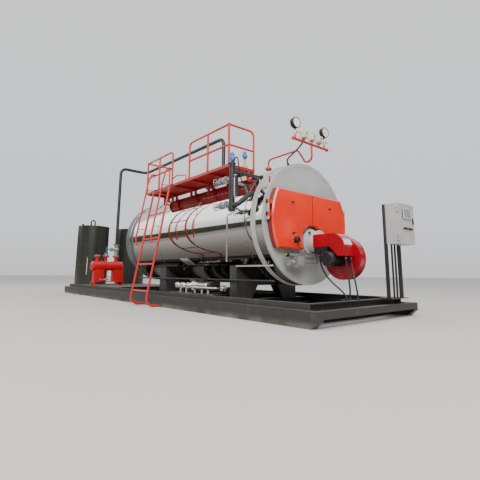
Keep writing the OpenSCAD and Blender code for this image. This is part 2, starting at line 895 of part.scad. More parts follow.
module gauge_cocks() color("#b08a3c") {
    for (g = gauge_list) union() {
        foot = manifold_z + switch_foot;
        top = manifold_z + g[1] - gauge_d / 2 - 30;
        bar_z(foot, top, manifold_cx, g[0], 11);
        bar_z(foot + 10, foot + 50, manifold_cx, g[0], 20);
        bar_x(manifold_cx, manifold_cx + 46, g[0], foot + 30, 8);
    }
}

module pressure_gauges() color("#1d1d1f") {
    for (g = gauge_list) union() {
        gz = manifold_z + g[1];
        bar_z(gz - gauge_d / 2 - 30, gz, manifold_cx, g[0], 14);
        bar_x(manifold_cx - gauge_t / 2, manifold_cx + gauge_t / 2, g[0], gz, gauge_d / 2 - 4);
        bar_x(manifold_cx + gauge_t / 2 - 22, manifold_cx + gauge_t / 2, g[0], gz, gauge_d / 2);
    }
}

module pressure_switches() color("#cfc6b4") {
    for (y = switch_list) box(
        [manifold_cx - switch_w / 2, y - switch_w / 2, manifold_z + switch_foot],
        [manifold_cx + switch_w / 2, y + switch_w / 2, manifold_z + switch_foot + switch_w * 1.05]);
}

probe_x = shell_front - probe_back;
probe_nozzle = [40, 254];
probe_flange = [62, 80];
probe_stem = [25, 121];

module level_probe() color("#d8b62a") union() {
    flange_z = shell_top + probe_nozzle[1] - probe_flange[1] / 4;
    difference() {
        bar_z(axis_z, flange_z, probe_x, 0, probe_nozzle[0]);
        shell_space();
    }
    bar_z(flange_z, flange_z + probe_flange[1], probe_x, 0, probe_flange[0]);
    bar_z(flange_z, probe_top, probe_x, 0, probe_stem[0]);
}

probe_top = shell_top + probe_nozzle[1] + probe_flange[1] + probe_stem[1];

// Walkway

deck_low = deck_z - deck_t;
fascia_z = deck_low - fascia_h;
deck_in = -deck_out + deck_w;

module walkway_deck() color("#a3171c") union() {
    box([deck_rear, -deck_out, deck_low], [deck_x1, deck_in, deck_z]);
    box([deck_rear, -deck_out, fascia_z], [ladder_x0 - stringer_d, -deck_out + fascia_t, deck_z]);
    box([ladder_x1 + stringer_d, -deck_out, fascia_z], [deck_x1, -deck_out + fascia_t, deck_z]);
    box([deck_rear, deck_in - fascia_t, fascia_z], [deck_x1, deck_in, deck_z]);
}

bracket_list = [
    deck_rear, ladder_x0 - stringer_d - fascia_t, ladder_x1 + stringer_d,
    gap_x1, (gap_x1 + post_front) / 2, deck_x1 - fascia_t
];

// Cross plate under the deck with the two posts that stand on the shell
module walkway_bracket(x) difference() {
    union() {
        box([x, -deck_out + fascia_t, fascia_z], [x + fascia_t, deck_in - fascia_t, deck_low]);
        for (i = [0, 1]) {
            y = deck_in - fascia_t - deck_post - i * (deck_post + deck_post_gap);
            x0 = min(x, deck_x1 - deck_post);
            box([x0, y, axis_z], [x0 + deck_post, y + deck_post, deck_low]);
        }
    }
    shell_space();
}

module walkway_brackets() color("#a3171c") {
    for (x = bracket_list) walkway_bracket(x);
}

rail_top = deck_z + rail_h;
rail_mid = deck_z + mid_h;
rail_in = deck_in - rail_r - 2;
hoop_h = 100;
hoop_l = 510;
// Share of a post's radius that a rail joined to it has
thin = 0.92;

module guard_post(x) rod([x, rail_y, deck_z], [x, rail_y, rail_top], rail_r);

// Tube from the deck's inner edge up and out to the outer rail
module end_rail(x) pipe([
    [x, rail_in, deck_z], [x, rail_in, rail_top], [x, rail_y, rail_top]
], rail_r * thin, rail_bend);

module mid_rail(x0, x1) rod([x0, rail_y, rail_mid], [x1, rail_y, rail_mid], rail_r * thin);

module guard_front() union() {
    pipe([
        [post_front, rail_y, rail_top], [gap_x1, rail_y, rail_top], [gap_x1, rail_y, deck_z]
    ], rail_r * thin, rail_bend);
    rod([post_front, rail_y, deck_z], [post_front, rail_y, rail_top + rail_r], rail_r);
    guard_post((gap_x1 + post_front) / 2);
    mid_rail(gap_x1, post_front);
    end_rail(post_front);
    rod([post_front, rail_y, rail_mid], [post_front, rail_in, rail_mid], rail_r * thin * thin);
}

module guard_rear() union() {
    pipe([
        [post_rear, rail_y, rail_top], [gap_x0, rail_y, rail_top], [gap_x0, rail_y, deck_z]
    ], rail_r * thin, rail_bend);
    rod([post_rear, rail_y, deck_z], [post_rear, rail_y, rail_top + rail_r], rail_r);
    guard_post((gap_x0 + post_rear) / 2);
    mid_rail(gap_x0, post_rear);
    end_rail(post_rear);
    pipe([
        [gap_x0, rail_y, deck_z + hoop_h], [gap_x0 + hoop_l / 3, rail_y, deck_z + hoop_h * 1.4],
        [gap_x0 + hoop_l, rail_y, deck_z + hoop_h * 0.8], [gap_x0 + hoop_l, rail_y, deck_z]
    ], rail_r * 0.6, hoop_h * 0.35);
}

module guard_rails() color("#d01a22") {
    guard_front();
    guard_rear();
}

// Ladder

foot_z = stringer_d / 2;

module stringer(x) pipe([
    [x, ladder_y(deck_z), deck_z], [x, ladder_y(foot_z), foot_z], [x, -side_y - seat, foot_z]
], stringer_d / 2, foot_bend);

module ladder() color("#c8171e") union() {
    stringer(ladder_x0);
    stringer(ladder_x1);
    for (i = [0 : rung_n - 1]) {
        z = rung_low + i * rung_step;
        rod([ladder_x0, ladder_y(z), z], [ladder_x1, ladder_y(z), z], rung_d / 2);
    }
}

grab_gap = 168;
grab_low = 1150;
link_d = 16;
link_z = [1480, 2300];

module grab_rail(x) {
    pipe([
        [x, ladder_y(grab_low) - grab_gap * 0.7, grab_low],
        [x, ladder_y(grab_low + 140) - grab_gap, grab_low + 140],
        [x, ladder_y(deck_z + 60) - grab_gap, deck_z + 60],
        [x, rail_y - 110, rail_mid], [x, rail_y - rail_r - seat, rail_mid]
    ], grab_d / 2, 70);
    for (z = link_z) {
        y = ladder_y(z);
        lean_gap = link_d / 2 * ladder_lean + seat;
        rod([x, y - stringer_d / 2 * 1.02 - lean_gap, z], [x, y - grab_gap, z], link_d / 2);
    }
}

module ladder_handrails() color("#c8171e") {
    grab_rail(ladder_x0);
    grab_rail(ladder_x1);
}

// Water column

column_z0 = axis_z + column_low;
column_z1 = column_z0 + column_h;
column_top_z = column_z1 - 130;
column_flange_t = 18;
cock_z = [column_z0 + 88, column_z1 - 241];

module column_tube(r) bar_z(column_z0, column_z1, column_x, -column_y, r);

module water_column() color("#4b4d50") union() {
    column_tube(column_r);
    for (z = [column_z0, column_z1 - column_flange_t])
        bar_z(z, z + column_flange_t, column_x, -column_y, column_r + 10);
}

head_neck = [20, 24];
head_size = [46, 104];
head_cap = [36, 22];
head_gland = [14, 72];

// Round housing of a level transmitter with its cover and cable gland
module transmitter(x, y, z) union() {
    mid_z = z + head_neck[1] + head_size[0] * 0.9;
    bar_z(z, mid_z, x, y, head_neck[0]);
    bar_y(y - head_size[1] / 2, y + head_size[1] / 2, x, mid_z, head_size[0]);
    bar_y(y - head_size[1] / 2 - head_cap[1], y, x, mid_z, head_cap[0]);
    bar_x(x, x + head_gland[1], y, mid_z, head_gland[0]);
}

module level_transmitter() color("#2468b4") {
    transmitter(column_x, -column_y, column_z1);
    transmitter(probe_x, 0, probe_top);
}

loop_clear = 4;
loop_z = column_z0 + column_flange_t + loop_r + loop_clear;
loop_x = column_x + 166;
loop_rise = 190;

module column_pipes() color("#57595b") {
    difference() {
        pipe([
            [column_x, -column_y, loop_z], [column_x + 130, -column_y, loop_z],
            [loop_x, -shell_r + loop_r, loop_z + loop_rise], [loop_x, 0, loop_z + loop_rise]
        ], loop_r, loop_r * 1.5);
        shell_space();
        column_tube(column_r + seat);
    }
    difference() {
        rod([column_x, 0, column_top_z], [column_x, -column_y, column_top_z], upper_r);
        shell_space();
        column_tube(column_r + seat);
    }
}

cock_body_r = 52;
cock_flange_t = 22;
cock_stem = [12, 216];
cock_bonnet = [30, 150];
cock_wheel_r = 62;
cock_link_r = 22;

// Angle valve from the shell into the column, with its handwheel at the rear
module column_valve(z) {
    x = column_x - cock_gap;
    difference() {
        union() {
            bar_x(x, column_x, -column_y, z, cock_link_r + 2);
            translate([x, -column_y, z]) rotate([0, 90, 0]) sphere(r = cock_body_r);
            for (f = [x - cock_body_r - cock_flange_t + tuck, x + cock_body_r - tuck])
                bar_x(f, f + cock_flange_t, -column_y, z, cock_flange_r);
            bar_x(x - cock_bonnet[1], x, -column_y, z, cock_bonnet[0]);
            bar_x(x - cock_stem[1], x, -column_y, z, cock_stem[0]);
            translate([x - cock_stem[1], -column_y, z]) rotate([0, 90, 0]) handwheel(cock_wheel_r);
            bar_y(-column_y, 0, x, z, cock_link_r);
        }
        shell_space();
        column_tube(column_r + seat);
    }
}

module column_valves() color("#6a6c6d") {
    for (z = cock_z) column_valve(z);
}

gauge_block = [84, 36, 312];
gauge_low = 185;

module level_gauge() color("#2c2d2e") {
    x0 = column_x + column_r + seat;
    box([x0, -column_y - gauge_block[1] * 2 / 3, column_z0 + gauge_low],
        [x0 + gauge_block[0], -column_y + gauge_block[1] / 3, column_z0 + gauge_low + gauge_block[2]]);
}

drain_r = 14;
drain_drop = 70;
drain_side = 107;

module drain_pipe() color("#b7b9b8") pipe([
    [column_x, -column_y, column_z0], [column_x, -column_y, column_z0 - drain_drop],
    [column_x - drain_side, -column_y, column_z0 - drain_drop],
    [column_x - drain_side, -column_y, column_z0 - drain_l]
], drain_r, 2 * drain_r);

// Steam pipe

valve_top = shell_top + 194;

module steam_outlet_valve() color("#4a5563") union() {
    difference() {
        bar_z(axis_z, shell_top + 100, outlet_x, 0, steam_d * 0.6);
        shell_space();
    }
    bar_z(shell_top + 76, shell_top + 100, outlet_x, 0, steam_d);
    bar_z(shell_top + 100, valve_top, outlet_x, 0, steam_d * 0.7);
    translate([outlet_x, 0, valve_top]) sphere(r = steam_d);
    bar_y(0, steam_d * 1.6, outlet_x, valve_top, steam_d * 0.7);
    bar_y(steam_d * 1.6 - 24, steam_d * 1.6, outlet_x, valve_top, steam_d);
    bar_z(valve_top, valve_top + 190, outlet_x, 0, 20);
    bar_z(valve_top + 160, valve_top + 176, outlet_x, 0, 92);
}

inlet_y = header_y + 228;
valve_z0 = header_z + branch_h;
inlet_top = valve_z0 + 330;

module main_steam_pipe() color("#3c3d3f") union() {
    pipe([
        [outlet_x, steam_d * 1.6, valve_top], [outlet_x, steam_y, valve_top],
        [outlet_x, steam_y, steam_z], [header_x, steam_y, steam_z],
        [header_x, inlet_y, steam_z], [header_x, inlet_y, inlet_top]
    ], steam_d / 2, steam_bend);
    bar_y(steam_d * 1.6, steam_d * 1.6 + 24, outlet_x, valve_top, steam_d);
    bar_z(inlet_top, inlet_top + 24, header_x, inlet_y, branch_flange_d / 2);
}

// Steam header

header_r = header_d / 2;
dome_h = 57;
dome_r = (pow(header_r, 2) + pow(dome_h, 2)) / (2 * dome_h);
branch_list = [header_y - 290, header_y - 50, inlet_y];
branch_r = 44;

// Outline of a domed end in radius and Y
module dome_outline() intersection() {
    translate([0, header_l / 2 + dome_h - dome_r]) circle(r = dome_r);
    translate([0, header_l / 2 - over]) square([header_r, dome_h + 2 * over]);
}

module steam_header() color("#c01820") union() {
    bar_y(header_y - header_l / 2, header_y + header_l / 2, header_x, header_z, header_r);
    translate([0, header_y, 0]) about_y(header_x, header_z) dome_outline();
    translate([0, header_y, 0]) mirror([0, 1, 0]) about_y(header_x, header_z) dome_outline();
    for (y = branch_list) {
        bar_z(header_z, valve_z0, header_x, y, branch_r);
        bar_z(valve_z0 - 22, valve_z0, header_x, y, branch_flange_d / 2);
    }
}

leg_w = 276;
leg_z = 380;
leg_gap = 256;

module header_leg(y) difference() {
    box([header_x - 90, y, leg_z - 20], [header_x + 90, y + leg_w, header_z]);
    bar_y(y - over, y + leg_w + over, header_x, header_z, header_r + seat);
    box([header_x - 90 + 10, y + 10, leg_z - 20 - over], [header_x + 90 - 10, y + leg_w - 10, header_z - header_r - 14]);
}

module header_stand() color("#a31920") union() {
    y0 = header_y - leg_gap / 2 - leg_w + 28;
    y1 = header_y + leg_gap / 2 + 28;
    header_leg(y0);
    header_leg(y1);
    box([header_x - 130, y0 - 20, leg_z - 20], [header_x + 130, y1 + leg_w + 20, leg_z]);
    for (x = [header_x - 130, header_x + 70]) {
        for (y = [y0 - 20, y1 + leg_w - 40])
            box([x, y, floor_z], [x + 60, y + 60, leg_z]);
    }
}

flange_t = 22;
stop_neck_r = 52;
stop_ball_r = 76;
stop_up = 190;
stop_bonnet = [40, 150];
stop_gland = [58, 165, 30];
stop_wheel_r = 85;
stop_stem = [12, 280];
check_r = 48;
check_h = 75;
drain_x = header_x + 170;
drain_z = 426;
drain_pipe_r = 20;
drain_body_r = 36;
drain_body_y = header_y - 92;
drain_wheel_r = 44;
drain_wheel_y = header_y - 252;

module branch_flange(y, z) bar_z(z, z + flange_t, header_x, y, branch_flange_d / 2);

module stop_valve() union() {
    z = valve_z0 + stop_up;
    branch_flange(inlet_y, valve_z0);
    branch_flange(inlet_y, inlet_top - flange_t);
    bar_z(valve_z0, inlet_top, header_x, inlet_y, stop_neck_r);
    translate([header_x, inlet_y, z]) sphere(r = stop_ball_r);
    bar_y(inlet_y - stop_bonnet[1], inlet_y, header_x, z, stop_bonnet[0]);
    bar_y(inlet_y - stop_gland[1], inlet_y - stop_gland[1] + stop_gland[2], header_x, z, stop_gland[0]);
    bar_y(inlet_y - stop_stem[1], inlet_y, header_x, z, stop_stem[0]);
}

module check_valve(y) union() {
    branch_flange(y, valve_z0);
    bar_z(valve_z0, valve_z0 + check_h, header_x, y, check_r);
    bar_z(valve_z0 + check_h, valve_z0 + check_h + flange_t / 2, header_x, y, check_r * 1.3);
}

module drain_valve() union() {
    pipe([
        [header_x, header_y, header_z - header_r - seat], [header_x, header_y, drain_z],
        [drain_x, header_y, drain_z], [drain_x, drain_body_y, drain_z]
    ], drain_pipe_r, 2 * drain_pipe_r);
    translate([drain_x, drain_body_y, drain_z]) sphere(r = drain_body_r);
    bar_y(drain_wheel_y, drain_body_y, drain_x, drain_z, stop_stem[0]);
}

module header_valves() color("#a9aaa6") {
    stop_valve();
    check_valve(branch_list[1]);
    branch_flange(branch_list[0], valve_z0);
    drain_valve();
}

module wheel_on_stem(x, y, z, r) translate([x, y, z]) rotate([90, 0, 0]) difference() {
    handwheel(r);
    translate([0, 0, -over]) cylinder(h = r, r = stop_stem[0] + seat);
}

module valve_handwheels() color("#2b6cb8") {
    wheel_on_stem(header_x, inlet_y - stop_stem[1] + flange_t, valve_z0 + stop_up, stop_wheel_r);
    wheel_on_stem(drain_x, drain_wheel_y + flange_t, drain_z, drain_wheel_r);
}

// Tanks

tank_top = floor_z + tank_h;

module tank(y) difference() {
    bar_z(floor_z, tank_top, tank_x, y, tank_r);
    bar_z(floor_z + tank_t, tank_top + over, tank_x, y, tank_r - tank_t);
}

module lid(y) bar_z(tank_top, tank_top + lid_t, tank_x, y, tank_r + 8);

module feed_tank() color("#3a3b33") tank(-tank_y);

module water_tank() color("#35362f") tank(tank_y);

module vented_lid() union() {
    lid(-tank_y);
    vent_z = tank_top + lid_t;
    pipe([
        [tank_x, -tank_y - 100, vent_z - lid_t / 2], [tank_x, -tank_y - 100, vent_z + 210],
        [tank_x, -tank_y + 20, vent_z + 210], [tank_x, -tank_y + 20, vent_z + 60]
    ], 22, 55);
    bar_z(vent_z - lid_t / 2, vent_z + 80, tank_x - 60, -tank_y - 330, 30);
}

module plain_lid() union() {
    lid(tank_y);
    bar_z(tank_top, tank_top + lid_t + 70, tank_x, tank_y, 60);
}

module tank_lids() color("#3c3d35") {
    vented_lid();
    plain_lid();
}

// Pumps

pump_x = 1290;
pump_base_l = 1350;
pump_base = [220, 10];
pump_y = -860;
pump_z = frame_z + 130;
pump_line = [30, 60];
pump_ball_r = 58;
pump_ball_x = [110, 310, 510];
casing = [95, 670, 80];
pump_motor = [72, 440];
pump_foot = [50, 56];
pump_foot_x = [200, 400, 685, 900, 1080];
feed_r = 18;
feed_x = 2700;
feed_out = 105;
feed_in = -600;
feed_z = 372;
feed_valve_y = pump_y + 70;
feed_flange_r = 45;

module feed_valve() union() {
    for (y = [feed_valve_y - feed_flange_r, feed_valve_y + feed_flange_r - feed_r])
        bar_y(y, y + feed_r, feed_x, feed_z, feed_flange_r);
    translate([feed_x, feed_valve_y, feed_z]) sphere(r = feed_flange_r * 0.9);
}

// Pump with its motor, its inlet line and the pipe up into the shell
module feed_pumps() color("#9b9d9e") union() {
    casing_x = pump_x + casing[1];
    casing_mid = casing_x + casing[2] / 2;
    motor_x1 = casing_x + casing[2] + pump_motor[1];
    box([pump_x, pump_y - pump_base[0] / 2, frame_z],
        [pump_x + pump_base_l, pump_y + pump_base[0] / 2, frame_z + pump_base[1]]);
    bar_x(pump_x + pump_line[1], casing_x, pump_y, pump_z, pump_line[0]);
    for (x = pump_ball_x) translate([pump_x + x, pump_y, pump_z])
        rotate([0, 90, 0]) sphere(r = pump_ball_r);
    bar_x(casing_x, casing_x + casing[2], pump_y, pump_z, casing[0]);
    bar_x(casing_x, motor_x1, pump_y, pump_z, pump_motor[0]);
    for (x = pump_foot_x) box([pump_x + x, pump_y - pump_foot[1] / 2, frame_z],
        [pump_x + x + pump_foot[0], pump_y + pump_foot[1] / 2, pump_z]);
    difference() {
        pipe([
            [casing_mid, pump_y, feed_z], [casing_mid, pump_y - feed_out, feed_z],
            [feed_x, pump_y - feed_out, feed_z], [feed_x, feed_in, feed_z], [feed_x, feed_in, axis_z]
        ], feed_r, 2 * feed_r);
        shell_space();
    }
    feed_valve();
}

// Cabinet

post_x = cab_x - post_w;
cab_front = cab_x + cab_d;
cab_top = cab_z + cab_h;
post_foot_t = 10;
foot_out = 60;
post_list = [cab_y - 15, cab_y + cab_w - post_w - 40];

module post(y) translate([post_x, y, frame_z]) linear_extrude(height = cab_top - frame_z) polygon([
    [0, 0], [post_w, 0], [post_w, post_w], [post_w - post_t, post_w],
    [post_w - post_t, post_t], [0, post_t]
]);

module cabinet_posts() color("#a7a9a8") union() {
    box([frame_x1 - frame_w + 5, cab_y - 25, frame_z],
        [cab_x + foot_out, cab_y + cab_w - 20, frame_z + post_foot_t]);
    for (y = post_list) post(y);
}

conduit_r = 14;
conduit_y = [70, 160, 250];
floor_box = [205, 110, 62];
floor_box_y = -100;
gap_under = 3;
block_size = [48, 46, 82];
block_up = 22;
block_place = [3490, -705.7, 2089.2];
block_turn = 35;
gland_x = 3740;
gland_turn = 20;
gland_h = 30;
gland_r = 20;

// Block on the shell that takes the column transmitter's cord
module cord_block() difference() {
    translate(block_place) rotate([block_turn, 0, 0])
        box([-block_size[0] / 2, 0, block_up - block_size[2]], [block_size[0] / 2, block_size[1], block_up]);
    shell_space();
}

// Gland on the shell that takes the gauges' cord
module cord_gland() difference() {
    translate([gland_x, 0, axis_z]) rotate([gland_turn, 0, 0])
        cylinder(h = shell_r + gland_h, r = gland_r);
    shell_space();
}

// Conduits, glands and boxes that the cords and the cabinet's wires go into
module cord_fittings() color("#2a2b2d") {
    for (y = conduit_y)
        bar_z(frame_z + post_foot_t, cab_z, cab_x + foot_out / 2, cab_y + y, conduit_r);
    box([frame_x1 - frame_w - floor_box[0], floor_box_y, frame_z - floor_box[2] - gap_under],
        [frame_x1 - frame_w, floor_box_y + floor_box[1], frame_z - gap_under]);
    cord_block();
    cord_gland();
}

cab_hinge_r = 8;
cab_pin_d = 6;
cab_pin_play = 0.05;
cab_hinge_y = cab_y - cab_hinge_r - 1;
cab_door_x = cab_front + 0.5;
cab_hinge_x = cab_door_x + cab_door_t / 2;
cab_lug_h = 40;
cab_lug_z = [cab_z + 90, cab_top - 90];

module cabinet_body() color("#b7b9b6") {
    difference() {
        box([cab_x, cab_y, cab_z], [cab_front, cab_y + cab_w, cab_top]);
        box([cab_x + cab_wall, cab_y + cab_wall, cab_z + cab_wall],
            [cab_front + over, cab_y + cab_w - cab_wall, cab_top - cab_wall]);
    }
    for (z = cab_lug_z) union() {
        for (s = [-1, 1]) {
            z0 = s < 0 ? z - cab_lug_h : z + cab_lug_h / 2 + 0.5;
            z1 = s < 0 ? z - cab_lug_h / 2 - 0.5 : z + cab_lug_h;
            bar_z(z0, z1, cab_hinge_x, cab_hinge_y, cab_hinge_r);
            box([cab_front - 20, cab_hinge_y - 4, z0], [cab_hinge_x, cab_hinge_y + 4, z1]);
            box([cab_front - 20, cab_hinge_y - 4, z0], [cab_front - 4, cab_y + cab_wall, z1]);
        }
        bar_z(z - cab_lug_h, z + cab_lug_h, cab_hinge_x, cab_hinge_y, cab_pin_d / 2);
    }
}

module cabinet_door() color("#c3c5c2") {
    box([cab_door_x, cab_y + 1, cab_z], [cab_door_x + cab_door_t, cab_y + cab_w, cab_top]);
    for (z = cab_lug_z) difference() {
        union() {
            bar_z(z - cab_lug_h / 2, z + cab_lug_h / 2, cab_hinge_x, cab_hinge_y, cab_hinge_r);
            box([cab_hinge_x - 6, cab_hinge_y, z - cab_lug_h / 2], [cab_hinge_x + 6, cab_y + 2, z + cab_lug_h / 2]);
        }
        bar_z(z - cab_lug_h, z + cab_lug_h, cab_hinge_x, cab_hinge_y, cab_pin_d / 2 + cab_pin_play);
    }
}

panel_x = cab_door_x + cab_door_t;

module operator_panel() color("#232427") {
    box([panel_x, cab_y + 95, cab_top - 220], [panel_x + 12, cab_y + 360, cab_top - 70]);
    for (i = [0 : 3]) bar_x(panel_x, panel_x + 22, cab_y + 115 + i * 75, cab_z + 223, 17);
}

// Cords

cord_sides = 8;
burner_cord_d = 24;
transmitter_cord_d = 20;
gauge_cord_d = 26;

// Routes of the cords, from the gland to the far end
burner_route_1 = [
    [4160, -150, 905], [4160, -150, 855], [4166, -151, 800], [4180, -150, 745], [4199, -146, 692],
    [4223, -140, 641], [4252, -132, 592], [4284, -123, 548], [4319, -113, 508], [4358, -102, 470],
    [4398, -90, 434], [4438, -77, 398], [4475, -65, 360], [4505, -56, 318], [4518, -51, 290],
    [4518, -51, 262]
];
burner_route_2 = [
    [4540, -60, 860], [4540, -60, 810], [4544, -60, 760], [4551, -60, 710], [4558, -60, 660],
    [4565, -60, 612], [4572, -60, 562], [4578, -60, 512], [4583, -60, 462], [4586, -60, 412],
    [4585, -60, 361], [4582, -60, 312], [4582, -60, 262]
];
burner_route_3 = [
    [4545, 60, 860], [4545, 60, 808], [4552, 56, 756], [4564, 47, 707], [4579, 37, 657],
    [4596, 25, 610], [4615, 12, 564], [4633, -1, 517], [4649, -12, 469], [4664, -21, 418],
    [4676, -28, 368], [4682, -30, 317], [4682, -30, 265]
];
transmitter_route = [
    [3411, -1150, 2336], [3446, -1150, 2336], [3474, -1152, 2308], [3486, -1154, 2264],
    [3490, -1152, 2216], [3490, -1144, 2170], [3490, -1132, 2124], [3490, -1118, 2078],
    [3490, -1106, 2032], [3490, -1090, 1986], [3490, -1060, 1950], [3490, -1018, 1930],
    [3490, -970, 1926], [3490, -922, 1934], [3490, -876, 1956], [3490, -834, 1990],
    [3490, -792, 2026], [3490, -749, 2059], [3490, -706, 2089]
];
gauge_route = [
    [3914, -175, 2745], [3914, -175, 2692], [3901, -194, 2643], [3878, -220, 2599],
    [3852, -248, 2556], [3825, -276, 2516], [3797, -304, 2478], [3768, -334, 2438],
    [3740, -359, 2386], [3740, -341, 2336]
];

// Direction of a route at its point i
function route_u(p, i) = unit(p[min(i + 1, len(p) - 1)] - p[max(i - 1, 0)]);

// Direction square to a route at its point i, carried along without a twist
function route_side(p, i) =
    let (u = route_u(p, i))
    let (w = i == 0 ? frame_of(u)[0] : route_side(p, i - 1))
    unit(w - u * (w * u));

// One ring of a cord about its point i
function cord_ring(p, i, r) =
    let (a = route_side(p, i))
    let (b = cross(route_u(p, i), a))
    [for (k = [0 : cord_sides - 1])
        p[i] + r * (a * cos(k * 360 / cord_sides) + b * sin(k * 360 / cord_sides))];

// Tube of diameter d along the route p
module cord(p, d) {
    n = cord_sides;
    last = len(p) - 1;
    rings = [for (i = [0 : last]) each cord_ring(p, i, d / 2)];
    sides = [for (i = [0 : last - 1], k = [0 : n - 1])
        [i * n + k, i * n + (k + 1) % n, (i + 1) * n + (k + 1) % n, (i + 1) * n + k]];
    rear = [for (k = [0 : n - 1]) n - 1 - k];
    front = [for (k = [0 : n - 1]) last * n + k];
    polyhedron(points = rings, faces = concat(sides, [rear, front]), convexity = 6);
}

module burner_cable_1() color("#1a1a1b") cord(burner_route_1, burner_cord_d);

module burner_cable_2() color("#1a1a1b") cord(burner_route_2, burner_cord_d);

module burner_cable_3() color("#1a1a1b") cord(burner_route_3, burner_cord_d);

module transmitter_cable() color("#1a1a1b") cord(transmitter_route, transmitter_cord_d);

module gauge_cable() color("#8f8f8c") cord(gauge_route, gauge_cord_d);

skid_beams();
cross_beams();
base_frame();
floor_plate();
saddles();
shell_cladding();
rear_head();
shell_band();
front_rim();
front_plate();
door_hinges();
door_left();
door_right();
door_fittings_left();
door_fittings_right();
burner_neck();
burner_duct();
burner_fan_scroll();
burner_motor();
gas_train();
steam_siphon();
gauge_header();
gauge_cocks();
pressure_gauges();
pressure_switches();
level_probe();
walkway_deck();
walkway_brackets();
guard_rails();
ladder();
ladder_handrails();
water_column();
level_transmitter();
column_pipes();
column_valves();
level_gauge();
drain_pipe();
blowdown_pipe();
steam_outlet_valve();
main_steam_pipe();
steam_header();
header_stand();
header_valves();
valve_handwheels();
feed_tank();
water_tank();
tank_lids();
feed_pumps();
cabinet_posts();
cord_fittings();
cabinet_body();
cabinet_door();
operator_panel();
burner_cable_1();
burner_cable_2();
burner_cable_3();
transmitter_cable();
gauge_cable();
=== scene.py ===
"""Looks of a skid mounted fire tube boiler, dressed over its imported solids.

Everything is in metres. The origin is on the ground at the middle of the skid,
+X points to the burner, -Y to the ladder side and +Z up.
"""

from __future__ import annotations

import json
import logging
import math
from dataclasses import dataclass, field
from enum import Enum
from typing import Sequence, Union

import bmesh
import bpy
from mathutils import Matrix, Vector

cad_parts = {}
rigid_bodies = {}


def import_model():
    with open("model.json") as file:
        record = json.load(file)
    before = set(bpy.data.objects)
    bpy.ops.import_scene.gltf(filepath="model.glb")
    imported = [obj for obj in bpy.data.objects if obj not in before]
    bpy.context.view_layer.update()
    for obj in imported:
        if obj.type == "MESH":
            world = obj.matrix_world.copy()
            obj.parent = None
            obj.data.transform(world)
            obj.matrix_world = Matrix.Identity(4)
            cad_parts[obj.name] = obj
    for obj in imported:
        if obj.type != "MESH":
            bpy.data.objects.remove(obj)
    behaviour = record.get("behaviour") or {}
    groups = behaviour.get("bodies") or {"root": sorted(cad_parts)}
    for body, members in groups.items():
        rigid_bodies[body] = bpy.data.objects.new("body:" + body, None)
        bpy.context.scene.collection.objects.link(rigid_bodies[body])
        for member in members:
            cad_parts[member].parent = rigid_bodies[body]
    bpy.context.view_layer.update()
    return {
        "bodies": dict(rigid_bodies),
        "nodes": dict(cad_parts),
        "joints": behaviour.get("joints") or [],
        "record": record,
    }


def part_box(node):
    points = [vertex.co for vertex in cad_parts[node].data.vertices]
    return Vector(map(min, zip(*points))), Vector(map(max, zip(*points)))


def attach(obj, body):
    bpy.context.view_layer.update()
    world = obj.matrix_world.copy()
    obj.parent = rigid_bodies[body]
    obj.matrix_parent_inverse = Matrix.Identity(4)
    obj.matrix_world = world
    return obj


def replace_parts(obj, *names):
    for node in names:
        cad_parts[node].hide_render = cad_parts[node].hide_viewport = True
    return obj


LOG = logging.getLogger("boiler")
Point = Sequence[float]
Outline = Sequence[tuple[float, float]]
Colour = tuple[float, float, float]

FRONT, REAR = (1, 0, 0), (-1, 0, 0)
LEFT, RIGHT = (0, -1, 0), (0, 1, 0)
UP, DOWN = (0, 0, 1), (0, 0, -1)
ORIGIN = (0, 0, 0)
SHELL_AXIS = 1.402
SHELL_R = 0.964
DOOR_FACE = 3.9343


class Body(str, Enum):
    """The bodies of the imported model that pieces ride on."""

    SKID = "boiler_skid"
    LEFT_DOOR = "left_door"
    RIGHT_DOOR = "right_door"
    PANEL_DOOR = "panel_door"


class Sock:
    """A node's output, whose arithmetic adds Math nodes."""

    def __init__(self, graph: "Graph", socket: bpy.types.NodeSocket) -> None:
        """Keeps the socket and the graph that it belongs to."""
        self.graph = graph
        self.socket = socket

    def _math(self, operation: str, other: "Value") -> "Sock":
        """Adds a Math node that works on this value and another."""
        return self.graph.node("ShaderNodeMath", {"operation": operation}, {0: self, 1: other})

    def __add__(self, other: "Value") -> "Sock":
        """Sum."""
        return self._math("ADD", other)

    def __sub__(self, other: "Value") -> "Sock":
        """Difference."""
        return self._math("SUBTRACT", other)

    def __mul__(self, other: "Value") -> "Sock":
        """Product."""
        return self._math("MULTIPLY", other)

    def most(self, other: "Value") -> "Sock":
        """The greater of the two."""
        return self._math("MAXIMUM", other)

    def clamp(self) -> "Sock":
        """The value held between 0 and 1."""
        return self.graph.node("ShaderNodeClamp", {}, {"Value": self})

    def smooth(self, low: float, high: float, at_low: float = 0.0, at_high: float = 1.0) -> "Sock":
        """A smooth step between two values.

        Args:
            low: Value that gives at_low.
            high: Value that gives at_high.
            at_low: Result at and below low.
            at_high: Result at and above high.

        Returns:
            The mapped value.
        """
        inputs = {"Value": self, "From Min": low, "From Max": high, "To Min": at_low,
                  "To Max": at_high}
        return self.graph.node("ShaderNodeMapRange", {"interpolation_type": "SMOOTHSTEP"}, inputs)


Value = Union[Sock, float, int, str, Sequence[float]]


